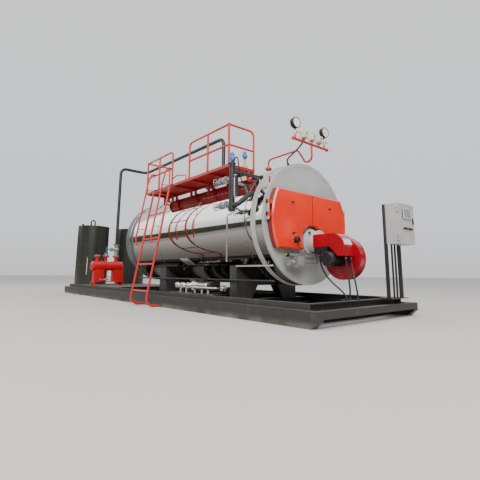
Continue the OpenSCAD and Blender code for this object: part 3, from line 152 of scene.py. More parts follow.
class Graph:
    """A node tree under construction."""

    def __init__(self, tree: bpy.types.NodeTree) -> None:
        """Keeps the tree."""
        self.tree = tree

    def feed(self, socket: bpy.types.NodeSocket, value: Value) -> None:
        """Links a socket or sets its value."""
        if isinstance(value, Sock):
            self.tree.links.new(value.socket, socket)
        else:
            socket.default_value = (*value, 1.0) if socket.type == "RGBA" else value

    def node(self, kind: str, settings: dict, inputs: dict, output: Union[str, int] = 0) -> Sock:
        """Adds one node.

        Args:
            kind: The node's type.
            settings: Properties that are set before the sockets.
            inputs: Values or sockets, by socket name or number.
            output: The output socket to hand back.

        Returns:
            The wrapped output socket.
        """
        made = self.tree.nodes.new(kind)
        for key, value in settings.items():
            setattr(made, key, value)
        for key, value in inputs.items():
            self.feed(made.inputs[key], value)
        return Sock(self, made.outputs[output])

    def mix(self, factor: Value, first: Value, second: Value) -> Sock:
        """Mixes two colours by the share of the second one."""
        inputs = {0: factor, 6: first, 7: second}
        return self.node("ShaderNodeMix", {"data_type": "RGBA"}, inputs, 2)

    def ramp(self, value: Value, stops: Sequence[tuple[float, Colour]]) -> Sock:
        """The colour that a ramp of places and colours gives for a value."""
        made = self.node("ShaderNodeValToRGB", {}, {0: value})
        elements = made.socket.node.color_ramp.elements
        while len(elements) < len(stops):
            elements.new(1.0)
        for element, (at, colour) in zip(elements, stops):
            element.position = at
            element.color = (*colour, 1.0)
        return made


class Shader(Graph):
    """One material's node tree round its Principled shader."""

    def __init__(self, name: str) -> None:
        """Makes the material and finds its shader node."""
        self.material = bpy.data.materials.new(name)
        self.material.use_nodes = True
        super().__init__(self.material.node_tree)
        self.principled = self.tree.nodes["Principled BSDF"]
        self.place = self.node("ShaderNodeTexCoord", {}, {}, "Object")

    def set(self, **values: Value) -> None:
        """Sets the Principled shader's sockets, with _ for a space in a name."""
        for key, value in values.items():
            self.feed(self.principled.inputs[key.replace("_", " ")], value)

    def noise(self, scale: float, detail: float, rough: float, stretch: Point = ()) -> Sock:
        """Noise on the object's own coordinates.

        Args:
            scale: Scale of the noise, in features a metre.
            detail: Octaves of the noise.
            rough: Weight of its small octaves.
            stretch: Scale of each axis before the noise, if any.

        Returns:
            The noise, from 0 to 1.
        """
        at = self.place
        if stretch:
            at = self.node("ShaderNodeMapping", {}, {"Vector": self.place, "Scale": stretch})
        inputs = {"Vector": at, "Scale": scale, "Detail": detail, "Roughness": rough}
        return self.node("ShaderNodeTexNoise", {}, inputs)

    def axis(self, which: int, normal: bool = False) -> Sock:
        """Part 0, 1 or 2 of the place on the object, or of the surface's normal."""
        source = self.node("ShaderNodeTexCoord", {}, {}, "Normal") if normal else self.place
        return self.node("ShaderNodeSeparateXYZ", {}, {0: source}, which)

    def bump(self, height: Sock, strength: float, distance: float) -> None:
        """Bumps the surface.

        Args:
            height: Height, from 0 to 1.
            strength: Strength of the bump.
            distance: Height of a full bump in metres.
        """
        inputs = {"Strength": strength, "Distance": distance, "Height": height}
        self.set(Normal=self.node("ShaderNodeBump", {}, inputs))


def shade(colour: Colour, share: float) -> Colour:
    """A colour with a share of its brightness."""
    return tuple(min(1.0, part * share) for part in colour)


def hue(text: str) -> Colour:
    """Linear colour of a display colour such as ee4423."""
    parts = [int(text[i : i + 2], 16) / 255 for i in (0, 2, 4)]
    return tuple(p / 12.92 if p <= 0.04045 else ((p + 0.055) / 1.055) ** 2.4 for p in parts)


@dataclass(frozen=True)
class Paint:
    """Paint on steel, with dust on what faces up, streaks, fine peel and, where given, a painted
    shade on faces that don't turn to the front.
    """

    name: str
    colour: Colour
    rough: float = 0.4
    dust: float = 0.25
    streaks: float = 0.25
    grime_height: float = 0.0
    coat: float = 0.0
    peel: float = 0.15
    metal: float = 0.0
    painted_side_shade_colour: Union[Colour, None] = None
    dust_colour: Colour = (0.33, 0.29, 0.24)

    def build(self) -> bpy.types.Material:
        """Makes the material."""
        s = Shader(self.name)
        cloud = s.noise(1.7, 4.0, 0.55)
        fine = s.noise(22.0, 4.0, 0.6)
        base = s.mix(cloud.smooth(0.3, 0.7), shade(self.colour, 0.88), shade(self.colour, 1.08))
        # painted shade: faces that don't turn to the front take this darker colour, standing in for
        # the shade on the doors' sides and edges
        if self.painted_side_shade_colour:
            facing = s.axis(0, normal=True).smooth(0.2, 0.6, 1.0, 0.0)
            base = s.mix(facing, base, self.painted_side_shade_colour)
        streak = s.noise(5.0, 4.0, 0.6, (3.0, 3.0, 0.22)).smooth(0.52, 0.74)
        worn = streak * fine.smooth(0.3, 0.8) * self.streaks
        base = s.mix(worn, base, shade(self.dust_colour, 0.75))
        up = s.axis(2, normal=True).smooth(0.35, 0.95) * cloud.smooth(0.25, 0.75, 0.4, 1.0)
        settled = up * fine.smooth(0.2, 0.8, 0.6, 1.0) * self.dust
        if self.grime_height > 0:
            low = s.axis(2).smooth(0.0, self.grime_height, 1.0, 0.0)
            settled = settled.most(low * cloud.smooth(0.35, 0.7) * 0.55)
        base = s.mix(settled, base, self.dust_colour)
        s.set(Base_Color=base, Metallic=self.metal, Coat_Weight=self.coat, Coat_Roughness=0.12)
        s.set(Roughness=(fine * 0.12 + settled * 0.35 + (self.rough - 0.06)).clamp())
        s.bump(s.noise(160.0, 2.0, 0.5), self.peel, 0.0006)
        return s.material


@dataclass(frozen=True)
class Steel:
    """Bare metal with a brushed grain along one axis."""

    name: str
    colour: Colour
    rough: float = 0.3
    grain: Point = ()
    stain: float = 0.2
    stain_colour: Colour = (0.16, 0.13, 0.1)

    def build(self) -> bpy.types.Material:
        """Makes the material."""
        s = Shader(self.name)
        brush = s.noise(90.0, 3.0, 0.6, self.grain)
        cloud = s.noise(3.0, 4.0, 0.55)
        spots = s.noise(38.0, 4.0, 0.65).smooth(0.58, 0.78) * self.stain
        base = s.mix(brush.smooth(0.3, 0.7), shade(self.colour, 0.9), shade(self.colour, 1.06))
        dirt = spots.most(cloud.smooth(0.5, 0.85) * self.stain * 0.6)
        s.set(Base_Color=s.mix(dirt, base, self.stain_colour), Metallic=1.0)
        s.set(Roughness=(brush * 0.14 + spots * 0.4 + (self.rough - 0.07)).clamp())
        s.bump(brush, 0.12, 0.0004)
        return s.material


@dataclass(frozen=True)
class Cladding:
    """Polished sheet round the shell, slightly uneven, with a painted reflection and shade that
    darkens it below its middle.
    """

    name: str
    colour: Colour = (0.72, 0.71, 0.69)
    painted_low_reflection_colour: Colour = (0.07, 0.055, 0.045)
    spot_colour: Colour = (0.4, 0.36, 0.31)

    def build(self) -> bpy.types.Material:
        """Makes the material."""
        s = Shader(self.name)
        grain = s.noise(60.0, 3.0, 0.6, (0.05, 1.0, 1.0))
        cloud = s.noise(1.1, 3.0, 0.5)
        # painted reflection and shade: below the shell's axis the polished sheet fades to a dark
        # brown, standing in for the dark ground that it mirrors there
        low = (s.axis(2) - SHELL_AXIS).smooth(-0.52, 0.2, 1.0, 0.0)
        base = s.mix(cloud.smooth(0.3, 0.7), shade(self.colour, 0.92), self.colour)
        base = s.mix(low * 0.95, base, self.painted_low_reflection_colour)
        spots = s.noise(9.0, 5.0, 0.65, (1.0, 1.0, 0.35)).smooth(0.56, 0.8)
        s.set(Base_Color=s.mix(spots * 0.25, base, self.spot_colour), Metallic=1.0)
        s.set(Roughness=(grain * 0.05 + spots * 0.1 + 0.035).clamp())
        s.bump(s.noise(0.9, 2.0, 0.5, (1.0, 2.0, 2.0)) + grain * 0.01, 0.25, 0.008)
        return s.material


@dataclass(frozen=True)
class Plastic:
    """Moulded plastic or rubber with a fine grain."""

    name: str
    colour: Colour
    rough: float = 0.5
    dust: float = 0.2
    grain: float = 0.25
    dust_colour: Colour = (0.3, 0.27, 0.23)

    def build(self) -> bpy.types.Material:
        """Makes the material."""
        s = Shader(self.name)
        fine = s.noise(120.0, 3.0, 0.6)
        cloud = s.noise(6.0, 3.0, 0.5)
        base = s.mix(cloud.smooth(0.3, 0.7), shade(self.colour, 0.85), shade(self.colour, 1.12))
        up = s.axis(2, normal=True).smooth(0.2, 0.9) * cloud.smooth(0.2, 0.8, 0.4, 1.0) * self.dust
        s.set(Base_Color=s.mix(up, base, self.dust_colour))
        s.set(Roughness=(fine * 0.16 + up * 0.3 + (self.rough - 0.08)).clamp())
        s.bump(fine, self.grain, 0.0004)
        return s.material


class Finish(Enum):
    """Every finish on the boiler."""

    SKID = Paint("skid_paint", hue("2c2c28"), 0.46, 0.25, 0.28, grime_height=0.1, peel=0.3)
    FRAME = Paint("frame_paint", hue("34342f"), 0.5, 0.4, 0.35, peel=0.3)
    FLOOR = Paint("floor_plate_paint", hue("43423e"), 0.55, 0.5, 0.4, peel=0.4)
    CLADDING = Cladding("polished_cladding")
    SEAM = Cladding("cladding_laps", (0.62, 0.61, 0.6))
    HEAD = Paint("rear_head_paint", hue("4d5154"), 0.4, 0.3, 0.3)
    RIM = Paint("front_plate_paint", hue("a9aaa6"), 0.42, 0.12, 0.16, coat=0.1)
    # the doors' sides and edges carry a painted shade in a darker red
    DOOR = Paint("door_paint", hue("ee2c0c"), 0.24, 0.03, 0.03, coat=0.6, peel=0.05,
                 painted_side_shade_colour=hue("7c1512"))
    BURNER = Paint("burner_paint", hue("9e0019"), 0.22, 0.02, 0.03, coat=0.6, peel=0.05)
    RED = Paint("pipe_red_paint", hue("c01a20"), 0.34, 0.1, 0.12)
    RAIL = Paint("rail_red_paint", hue("c4241c"), 0.36, 0.06, 0.12)
    WALKWAY = Paint("walkway_red_paint", hue("a81c20"), 0.42, 0.25, 0.25)
    HEADER = Paint("header_red_paint", hue("bd0f16"), 0.34, 0.12, 0.16)
    NECK = Paint("neck_paint", hue("c9c8c2"), 0.42, 0.12, 0.15, peel=0.4)
    CAST = Paint("cast_grey", hue("a9a8a2"), 0.5, 0.2, 0.2, peel=0.5, metal=0.35)
    VALVE = Paint("valve_grey", hue("8f918f"), 0.38, 0.15, 0.2, metal=0.4)
    PIPE_DARK = Paint("pipe_dark_paint", hue("222325"), 0.42, 0.12, 0.2)
    TANK = Paint("tank_paint", hue("2a2b25"), 0.3, 0.25, 0.22, coat=0.3)
    CABINET = Paint("cabinet_paint", hue("b3b4b0"), 0.4, 0.12, 0.12)
    POST = Paint("cabinet_post_paint", hue("2d2e2e"), 0.42, 0.25, 0.2)
    SHADOW = Paint("seam_shadow", hue("5a0a0e"), 0.5, 0.05, 0.05)
    PLATE = Paint("bare_plate_paint", hue("d8d6cf"), 0.4, 0.1, 0.1)
    BLUE = Paint("blue_paint", hue("2a63ad"), 0.34, 0.12, 0.12)
    YELLOW = Paint("yellow_paint", hue("d2b23c"), 0.4, 0.12, 0.12)
    SOOT = Paint("tube_end_paint", hue("4a3f38"), 0.6, 0.3, 0.4, peel=0.4)
    HINGE = Steel("hinge_steel", (0.62, 0.62, 0.6), 0.34)
    BRIGHT = Steel("bright_strap", (0.82, 0.82, 0.8), 0.22, (0.1, 1.0, 1.0))
    STAINLESS = Steel("stainless_pipe", (0.66, 0.66, 0.65), 0.26, (1.0, 1.0, 0.1))
    ZINC = Steel("zinc_bolts", (0.55, 0.55, 0.54), 0.36)
    BRASS = Steel("brass_fittings", (0.62, 0.44, 0.2), 0.32)
    BLACK = Plastic("black_plastic", (0.009, 0.009, 0.010), 0.4, 0.04)
    RUBBER = Plastic("black_rubber", (0.014, 0.014, 0.015), 0.6, 0.15)
    CABLE = Plastic("cable_sheath", (0.010, 0.010, 0.011), 0.46, 0.12)
    GLAND = Plastic("gland_grey_blue", hue("5f7c98"), 0.4, 0.1)
    BEIGE = Plastic("beige_plastic", hue("d6ccb8"), 0.45, 0.12)
    WHITE = Plastic("white_enamel", hue("e4e4df"), 0.3, 0.1)
    DIAL = Plastic("dial_white", hue("eeeeea"), 0.25, 0.0, 0.05)
    INK = Plastic("dial_ink", (0.02, 0.02, 0.022), 0.5, 0.0, 0.05)
    GLASS = Plastic("dark_glass", (0.02, 0.025, 0.028), 0.1, 0.05, 0.02)
    SCREEN = Plastic("screen_glass", hue("8f95a6"), 0.12, 0.02, 0.02)


NODE_FINISHES: dict[Finish, str] = {
    Finish.SKID: "skid_beams cross_beams",
    Finish.FRAME: "base_frame saddles",
    Finish.FLOOR: "floor_plate",
    Finish.CLADDING: "shell_cladding",
    Finish.HEAD: "rear_head",
    Finish.RIM: "shell_band front_rim front_plate",
    Finish.HINGE: "door_hinges",
    Finish.DOOR: "door_left door_right",
    Finish.NECK: "burner_neck",
    Finish.BURNER: "burner_duct burner_fan_scroll",
    Finish.BLACK: "door_fittings_left door_fittings_right burner_motor pressure_gauges level_gauge "
                  "operator_panel cord_fittings",
    Finish.VALVE: "gas_train column_valves header_valves",
    Finish.RED: "steam_siphon gauge_header",
    Finish.BRASS: "gauge_cocks",
    Finish.BEIGE: "pressure_switches",
    Finish.YELLOW: "level_probe",
    Finish.WALKWAY: "walkway_deck walkway_brackets",
    Finish.RAIL: "guard_rails ladder ladder_handrails",
    Finish.PIPE_DARK: "water_column column_pipes blowdown_pipe steam_outlet_valve main_steam_pipe",
    Finish.BLUE: "level_transmitter valve_handwheels",
    Finish.STAINLESS: "drain_pipe feed_pumps",
    Finish.HEADER: "steam_header header_stand",
    Finish.TANK: "feed_tank water_tank tank_lids",
    Finish.POST: "cabinet_posts",
    Finish.CABINET: "cabinet_body cabinet_door",
    Finish.CABLE: "burner_cable_1 burner_cable_2 burner_cable_3 transmitter_cable gauge_cable",
}

_BUILT: dict[Finish, bpy.types.Material] = {}


def coat_of(finish: Finish) -> bpy.types.Material:
    """The material of a finish, made once."""
    if finish not in _BUILT:
        _BUILT[finish] = finish.value.build()
    return _BUILT[finish]


def place_piece(data: bpy.types.Mesh, name: str, finish: Finish, body: Body) -> bpy.types.Object:
    """Links a mesh as a piece that rides on a body."""
    data.materials.clear()
    data.materials.append(coat_of(finish))
    made = bpy.data.objects.new(name, data)
    bpy.context.scene.collection.objects.link(made)
    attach(made, body.value)
    return made


def axes_of(along: Point) -> Matrix:
    """A rotation whose Z axis is the given direction."""
    return Vector(along).normalized().to_track_quat("Z", "Y").to_matrix()


def polar(radius: float, angle: float) -> tuple[float, float]:
    """A point of a circle, by its angle in radians."""
    return radius * math.cos(angle), radius * math.sin(angle)


def turned(x: Point, y: Point, z: Point) -> Matrix:
    """A rotation that has these axes."""
    return Matrix((Vector(x), Vector(y), Vector(z))).transposed()


def band(inner: float, outer: float, height: float, foot: float = 0.0) -> Outline:
    """Outline of a flat hoop."""
    return [(inner, foot), (outer, foot), (outer, foot + height), (inner, foot + height)]


def weld(inner: float, outer: float) -> Outline:
    """Outline of a weld's bead, 8 mm wide."""
    return [(inner, -0.004), (outer, -0.002), (outer, 0.002), (inner, 0.004)]


def plug(radius: float, foot: float, top: float, height: float, low: float = 0.004,
         high: float = 0.004) -> Outline:
    """Outline of a plug, cap or nut with chamfered ends.

    Args:
        radius: Its radius.
        foot: Radius of its foot.
        top: Radius of its top.
        height: Its height.
        low: Height of the foot's chamfer.
        high: Height of the top's chamfer.

    Returns:
        The outline, without its ends on the axis.
    """
    return [(foot, 0), (radius, low), (radius, height - high), (top, height)]


class Form:
    """A mesh under construction in the model's own frame, in metres."""

    def __init__(self) -> None:
        """Starts empty."""
        self.bm = bmesh.new()

    def _close(self, faces: list[bmesh.types.BMFace]) -> "Form":
        """Turns the new closed shell's faces outwards."""
        bmesh.ops.recalc_face_normals(self.bm, faces=faces)
        return self

    def lathe(self, outline: Outline, origin: Point, along: Point, sides: int = 32) -> "Form":
        """Turns an outline about an axis.

        Args:
            outline: Radius and height of each point; radius 0 makes a pole.
            origin: Foot of the axis.
            along: Direction of the axis.
            sides: Number of sides.

        Returns:
            This form.
        """
        turn = axes_of(along)
        rings, known = [], {}
        for at in outline:
            if at not in known:
                spots = [(*polar(at[0], math.tau * k / sides), at[1]) for k in range(sides)]
                if at[0] <= 0:
                    spots = [(0, 0, at[1])]
                known[at] = [self.bm.verts.new(Vector(origin) + turn @ Vector(p)) for p in spots]
            rings.append(known[at])
        faces = []
        for lower, upper in zip(rings, rings[1:]):
            for k in range(sides):
                corner = [lower[k % len(lower)], lower[(k + 1) % len(lower)],
                          upper[(k + 1) % len(upper)], upper[k % len(upper)]]
                faces.append(self.bm.faces.new(list(dict.fromkeys(corner))))
        return self._close(faces)

    def solid(self, outline: Outline, origin: Point, along: Point, sides: int = 32) -> "Form":
        """Turns an outline that is closed by flat ends on the axis."""
        ends = (0, outline[0][1]), (0, outline[-1][1])
        return self.lathe([ends[0], *outline, ends[1]], origin, along, sides)

    def hoop(self, outline: Outline, origin: Point, along: Point, sides: int = 40) -> "Form":
        """Turns an outline whose last point joins its first."""
        return self.lathe([*outline, outline[0]], origin, along, sides)

    def bar(self, start: Point, end: Point, radius: float, sides: int, edge: float = 0.0) -> "Form":
        """Round bar with a small bevel on its ends.

        Args:
            start: Middle of its foot.
            end: Middle of its top.
            radius: Its radius.
            sides: Number of sides.
            edge: Bevel of its ends.

        Returns:
            This form.
        """
        run = Vector(end) - Vector(start)
        outline = [(radius, 0), (radius, run.length)]
        if edge > 0:
            outline = plug(radius, radius - edge, radius - edge, run.length, edge, edge)
        return self.solid(outline, start, run, sides)

    def ring(self, centre: Point, along: Point, radius: float, wire: float, sides: int,
             wire_sides: int = 8) -> "Form":
        """Round ring of round wire."""
        spots = [polar(wire, math.tau * k / wire_sides) for k in range(wire_sides)]
        return self.hoop([(radius + x, y) for x, y in spots], centre, along, sides)

    def slab(self, centre: Point, size: Point, turn: Union[Matrix, None] = None,
             edge: float = 0.0) -> "Form":
        """Box about its centre, turned and with bevelled edges.

        Args:
            centre: Its middle.
            size: Its three lengths.
            turn: Rotation about its middle.
            edge: Bevel of its edges.

        Returns:
            This form.
        """
        move = Matrix.Translation(Vector(centre))
        if turn is not None:
            move = move @ turn.to_4x4()
        cube = move @ Matrix.Diagonal((*size, 1.0))
        made = bmesh.ops.create_cube(self.bm, size=1.0, matrix=cube)
        faces = list({face for vert in made["verts"] for face in vert.link_faces})
        if edge > 0:
            edges = list({line for face in faces for line in face.edges})
            done = bmesh.ops.bevel(self.bm, geom=edges, offset=edge, segments=2, profile=0.7,
                                   affect="EDGES")
            faces = list(set(done["faces"]) | {face for face in faces if face.is_valid})
        return self._close(faces)

    def block(self, low: Point, high: Point, edge: float) -> "Form":
        """Box between two corners, with bevelled edges."""
        a, b = Vector(low), Vector(high)
        return self.slab((a + b) / 2, b - a, None, edge)

    def skin(self, rows: Sequence[Sequence[Point]]) -> "Form":
        """Closes a row of rings of points, with flat ends."""
        rings = [[self.bm.verts.new(spot) for spot in row] for row in rows]
        faces = [self.bm.faces.new(rings[0][::-1]), self.bm.faces.new(rings[-1])]
        sides = len(rings[0])
        for lower, upper in zip(rings, rings[1:]):
            for k in range(sides):
                after = (k + 1) % sides
                corner = [lower[k], lower[after], upper[after], upper[k]]
                faces.append(self.bm.faces.new(corner))
        return self._close(faces)

    def mesh(self, name: str) -> bpy.types.Mesh:
        """The finished mesh, smooth but for its sharp edges."""
        data = bpy.data.meshes.new(name)
        self.bm.to_mesh(data)
        self.bm.free()
        return smoothed(data, 35)

    def piece(self, name: str, finish: Finish, body: Body = Body.SKID) -> bpy.types.Object:
        """Makes the piece, gives it its finish and lets it ride on a body."""
        return place_piece(self.mesh(name), name, finish, body)


def smoothed(data: bpy.types.Mesh, sharp: float) -> bpy.types.Mesh:
    """A mesh made smooth, but for edges past an angle in degrees."""
    for face in data.polygons:
        face.use_smooth = True
    data.set_sharp_from_angle(angle=math.radians(sharp))
    return data


class Tree(Graph):
    """A Geometry Nodes tree with named inputs, applied to plain meshes."""

    def __init__(self, name: str, inputs: dict[str, str]) -> None:
        """Makes the tree.

        Args:
            name: Its name.
            inputs: Socket type of each named input after the geometry.
        """
        super().__init__(bpy.data.node_groups.new(name, "GeometryNodeTree"))
        face = self.tree.interface
        face.new_socket("Geometry", in_out="INPUT", socket_type="NodeSocketGeometry")
        self.keys = {
            label: face.new_socket(label, in_out="INPUT",
                                   socket_type=f"NodeSocket{kind}").identifier
            for label, kind in {**inputs, "Material": "Material"}.items()
        }
        face.new_socket("Geometry", in_out="OUTPUT", socket_type="NodeSocketGeometry")
        self.source = self.tree.nodes.new("NodeGroupInput")
        self.sink = self.tree.nodes.new("NodeGroupOutput")

    def given(self, label: str) -> Sock:
        """A named input."""
        return Sock(self, self.source.outputs[label])

    def finish(self, geometry: Sock) -> None:
        """Ends the tree with Realize Instances and Set Material."""
        real = self.node("GeometryNodeRealizeInstances", {}, {"Geometry": geometry})
        inputs = {"Geometry": real, "Material": self.given("Material")}
        self.feed(self.sink.inputs[0], self.node("GeometryNodeSetMaterial", {}, inputs))

    def apply(self, source: bpy.types.Mesh, finish: Finish, **values: object) -> bpy.types.Mesh:
        """Runs the tree on a mesh.

        Args:
            source: The mesh that it starts from.
            finish: Finish of what it makes.
            values: Value of each other input.

        Returns:
            The plain mesh that it makes.
        """
        carrier = bpy.data.objects.new("carrier", source)
        bpy.context.scene.collection.objects.link(carrier)
        modifier = carrier.modifiers.new("tree", "NODES")
        modifier.node_group = self.tree
        for label, value in {**values, "Material": coat_of(finish)}.items():
            modifier[self.keys[label]] = value
        made = plain_mesh(carrier)
        carrier.modifiers.remove(modifier)
        bpy.data.objects.remove(carrier)
        return made


def plain_mesh(carrier: bpy.types.Object) -> bpy.types.Mesh:
    """The mesh that an object evaluates to."""
    view = bpy.context.evaluated_depsgraph_get()
    return bpy.data.meshes.new_from_object(carrier.evaluated_get(view))


class Copies(Tree):
    """Copies of a small template at marked points, each turned along its aim."""

    def __init__(self) -> None:
        """Makes the tree."""
        super().__init__("copies", {"Template": "Object", "Seed": "Int", "Turn": "Float"})
        aim, size = (
            self.node("GeometryNodeInputNamedAttribute", {"data_type": kind}, {"Name": label})
            for kind, label in (("FLOAT_VECTOR", "aim"), ("FLOAT", "size"))
        )
        along = self.node("FunctionNodeAlignRotationToVector", {"axis": "Z"}, {"Vector": aim})
        chance = self.node("FunctionNodeRandomValue", {"data_type": "FLOAT"},
                           {3: self.given("Turn"), "Seed": self.given("Seed")}, 1)
        spin = self.node("FunctionNodeAxisAngleToRotation", {}, {"Axis": UP, "Angle": chance})
        facing = self.node("FunctionNodeRotateRotation", {"rotation_space": "LOCAL"},
                           {"Rotation": along, "Rotate By": spin})
        template = self.node("GeometryNodeObjectInfo", {"transform_space": "ORIGINAL"},
                             {"Object": self.given("Template")}, "Geometry")
        self.finish(self.node("GeometryNodeInstanceOnPoints", {}, {
            "Points": self.given("Geometry"), "Instance": template, "Rotation": facing,
            "Scale": size,
        }))


class Tubes(Tree):
    """A smooth round tube along a line of points."""

    def __init__(self) -> None:
        """Makes the tree."""
        super().__init__("tubes", {"Radius": "Float", "Sides": "Int", "Step": "Float"})
        line = self.node("GeometryNodeMeshToCurve", {}, {"Mesh": self.given("Geometry")})
        soft = self.node("GeometryNodeCurveSplineType", {"spline_type": "CATMULL_ROM"},
                         {"Curve": line})
        even = self.node("GeometryNodeResampleCurve", {"mode": "LENGTH"},
                         {"Curve": soft, "Length": self.given("Step")})
        section = self.node("GeometryNodeCurvePrimitiveCircle", {"mode": "RADIUS"},
                            {"Resolution": self.given("Sides"), "Radius": self.given("Radius")})
        self.finish(self.node("GeometryNodeCurveToMesh", {}, {
            "Curve": even, "Profile Curve": section, "Fill Caps": True,
        }))

    def along(self, path: Sequence[Point], radius: float, sides: int,
              finish: Finish) -> bpy.types.Mesh:
        """The mesh of a tube that follows a path."""
        line = bpy.data.meshes.new("line")
        line.from_pydata(list(path), [(i, i + 1) for i in range(len(path) - 1)], [])
        made = self.apply(line, finish, Radius=radius, Sides=sides, Step=radius * 1.5)
        return smoothed(made, 50)


@dataclass
class Spots:
    """Marked points for copies of one template, each with its aim and size."""

    rows: list[tuple[Vector, Vector, float]] = field(default_factory=list)

    def add(self, place: Point, aim: Point, size: float) -> None:
        """Marks one point."""
        self.rows.append((Vector(place), Vector(aim), size))

    def circle(self, centre: Point, along: Point, radius: float, count: int, size: float,
               start: float = 0.0) -> None:
        """Marks points evenly round an axis.

        Args:
            centre: Middle of the circle.
            along: Its axis, and the copies' aim.
            radius: Its radius.
            count: Number of points.
            size: Size of each copy.
            start: Angle of the first one in degrees.
        """
        turn = axes_of(along)
        for k in range(count):
            spot = (*polar(radius, math.radians(start) + math.tau * k / count), 0)
            self.add(Vector(centre) + turn @ Vector(spot), along, size)

    def mesh(self) -> bpy.types.Mesh:
        """The points as a mesh with their aims and sizes."""
        places, aims, sizes = zip(*self.rows)
        data = bpy.data.meshes.new("spots")
        data.from_pydata([tuple(place) for place in places], [], [])
        aim = data.attributes.new("aim", "FLOAT_VECTOR", "POINT")
        aim.data.foreach_set("vector", [part for way in aims for part in way])
        data.attributes.new("size", "FLOAT", "POINT").data.foreach_set("value", sizes)
        return data


class Fasteners:
    """Bolts and rivets of the whole boiler, gathered by body."""

    def __init__(self) -> None:
        """Starts without any."""
        self.copies = Copies()
        self.bolts, self.rivets, self.painted = ({body: Spots() for body in Body} for _ in range(3))

    @staticmethod
    def _bolt() -> Form:
        """A hex head on its washer and its shank's end, one unit across."""
        form = Form().solid(band(0, 0.6, 0.1)[1:3], ORIGIN, UP, 16)
        form.solid([(0.55, 0.1), (0.57, 0.14), (0.57, 0.5), (0.49, 0.56)], ORIGIN, UP, 6)
        return form.solid([(0.3, 0.56), (0.26, 0.85)], ORIGIN, UP, 10)

    @staticmethod
    def _rivet() -> Form:
        """A low round head, one unit across."""
        outline = [(0, 0), (0.5, 0), (0.42, 0.16), (0.22, 0.27), (0, 0.3)]
        return Form().lathe(outline, ORIGIN, UP, 8)

    def scatter(self, spots: Spots, shape: bpy.types.Mesh, name: str, finish: Finish, body: Body,
                seed: int, turn: float) -> None:
        """Makes a piece of copies of one shape.

        Args:
            spots: Where they stand.
            shape: The shape's mesh.
            name: The piece's name.
            finish: Its finish.
            body: The body that carries it.
            seed: Seed of the copies' own turns.
            turn: Greatest turn of a copy, in radians.
        """
        template = bpy.data.objects.new("template", shape)
        made = self.copies.apply(spots.mesh(), finish, Template=template, Seed=seed, Turn=turn)
        place_piece(made, name, finish, body)
        bpy.data.objects.remove(template)

    def build(self) -> None:
        """Makes one piece of each kind for each body that has some."""
        for label, kind, form, finish in (
            ("bolts", self.bolts, self._bolt, Finish.ZINC),
            ("rivets", self.rivets, self._rivet, Finish.ZINC),
            ("painted_bolts", self.painted, self._bolt, Finish.BURNER),
        ):
            for body, spots in kind.items():
                if spots.rows:
                    name = f"{body.value}_{label}"
                    self.scatter(spots, form().mesh(label), name, finish, body, 7, 1.05)


@dataclass
class Details:
    """Small shapes of one part of the boiler, with its bolts and rivets."""

    fasteners: Fasteners

    @property
    def bolts(self) -> Spots:
        """The bolts that the skid's own body carries."""
        return self.fasteners.bolts[Body.SKID]

    @property
    def rivets(self) -> Spots:
        """The rivets and small screws that the skid's own body carries."""
        return self.fasteners.rivets[Body.SKID]

    def build(self) -> None:
        """Makes the details."""
        raise NotImplementedError


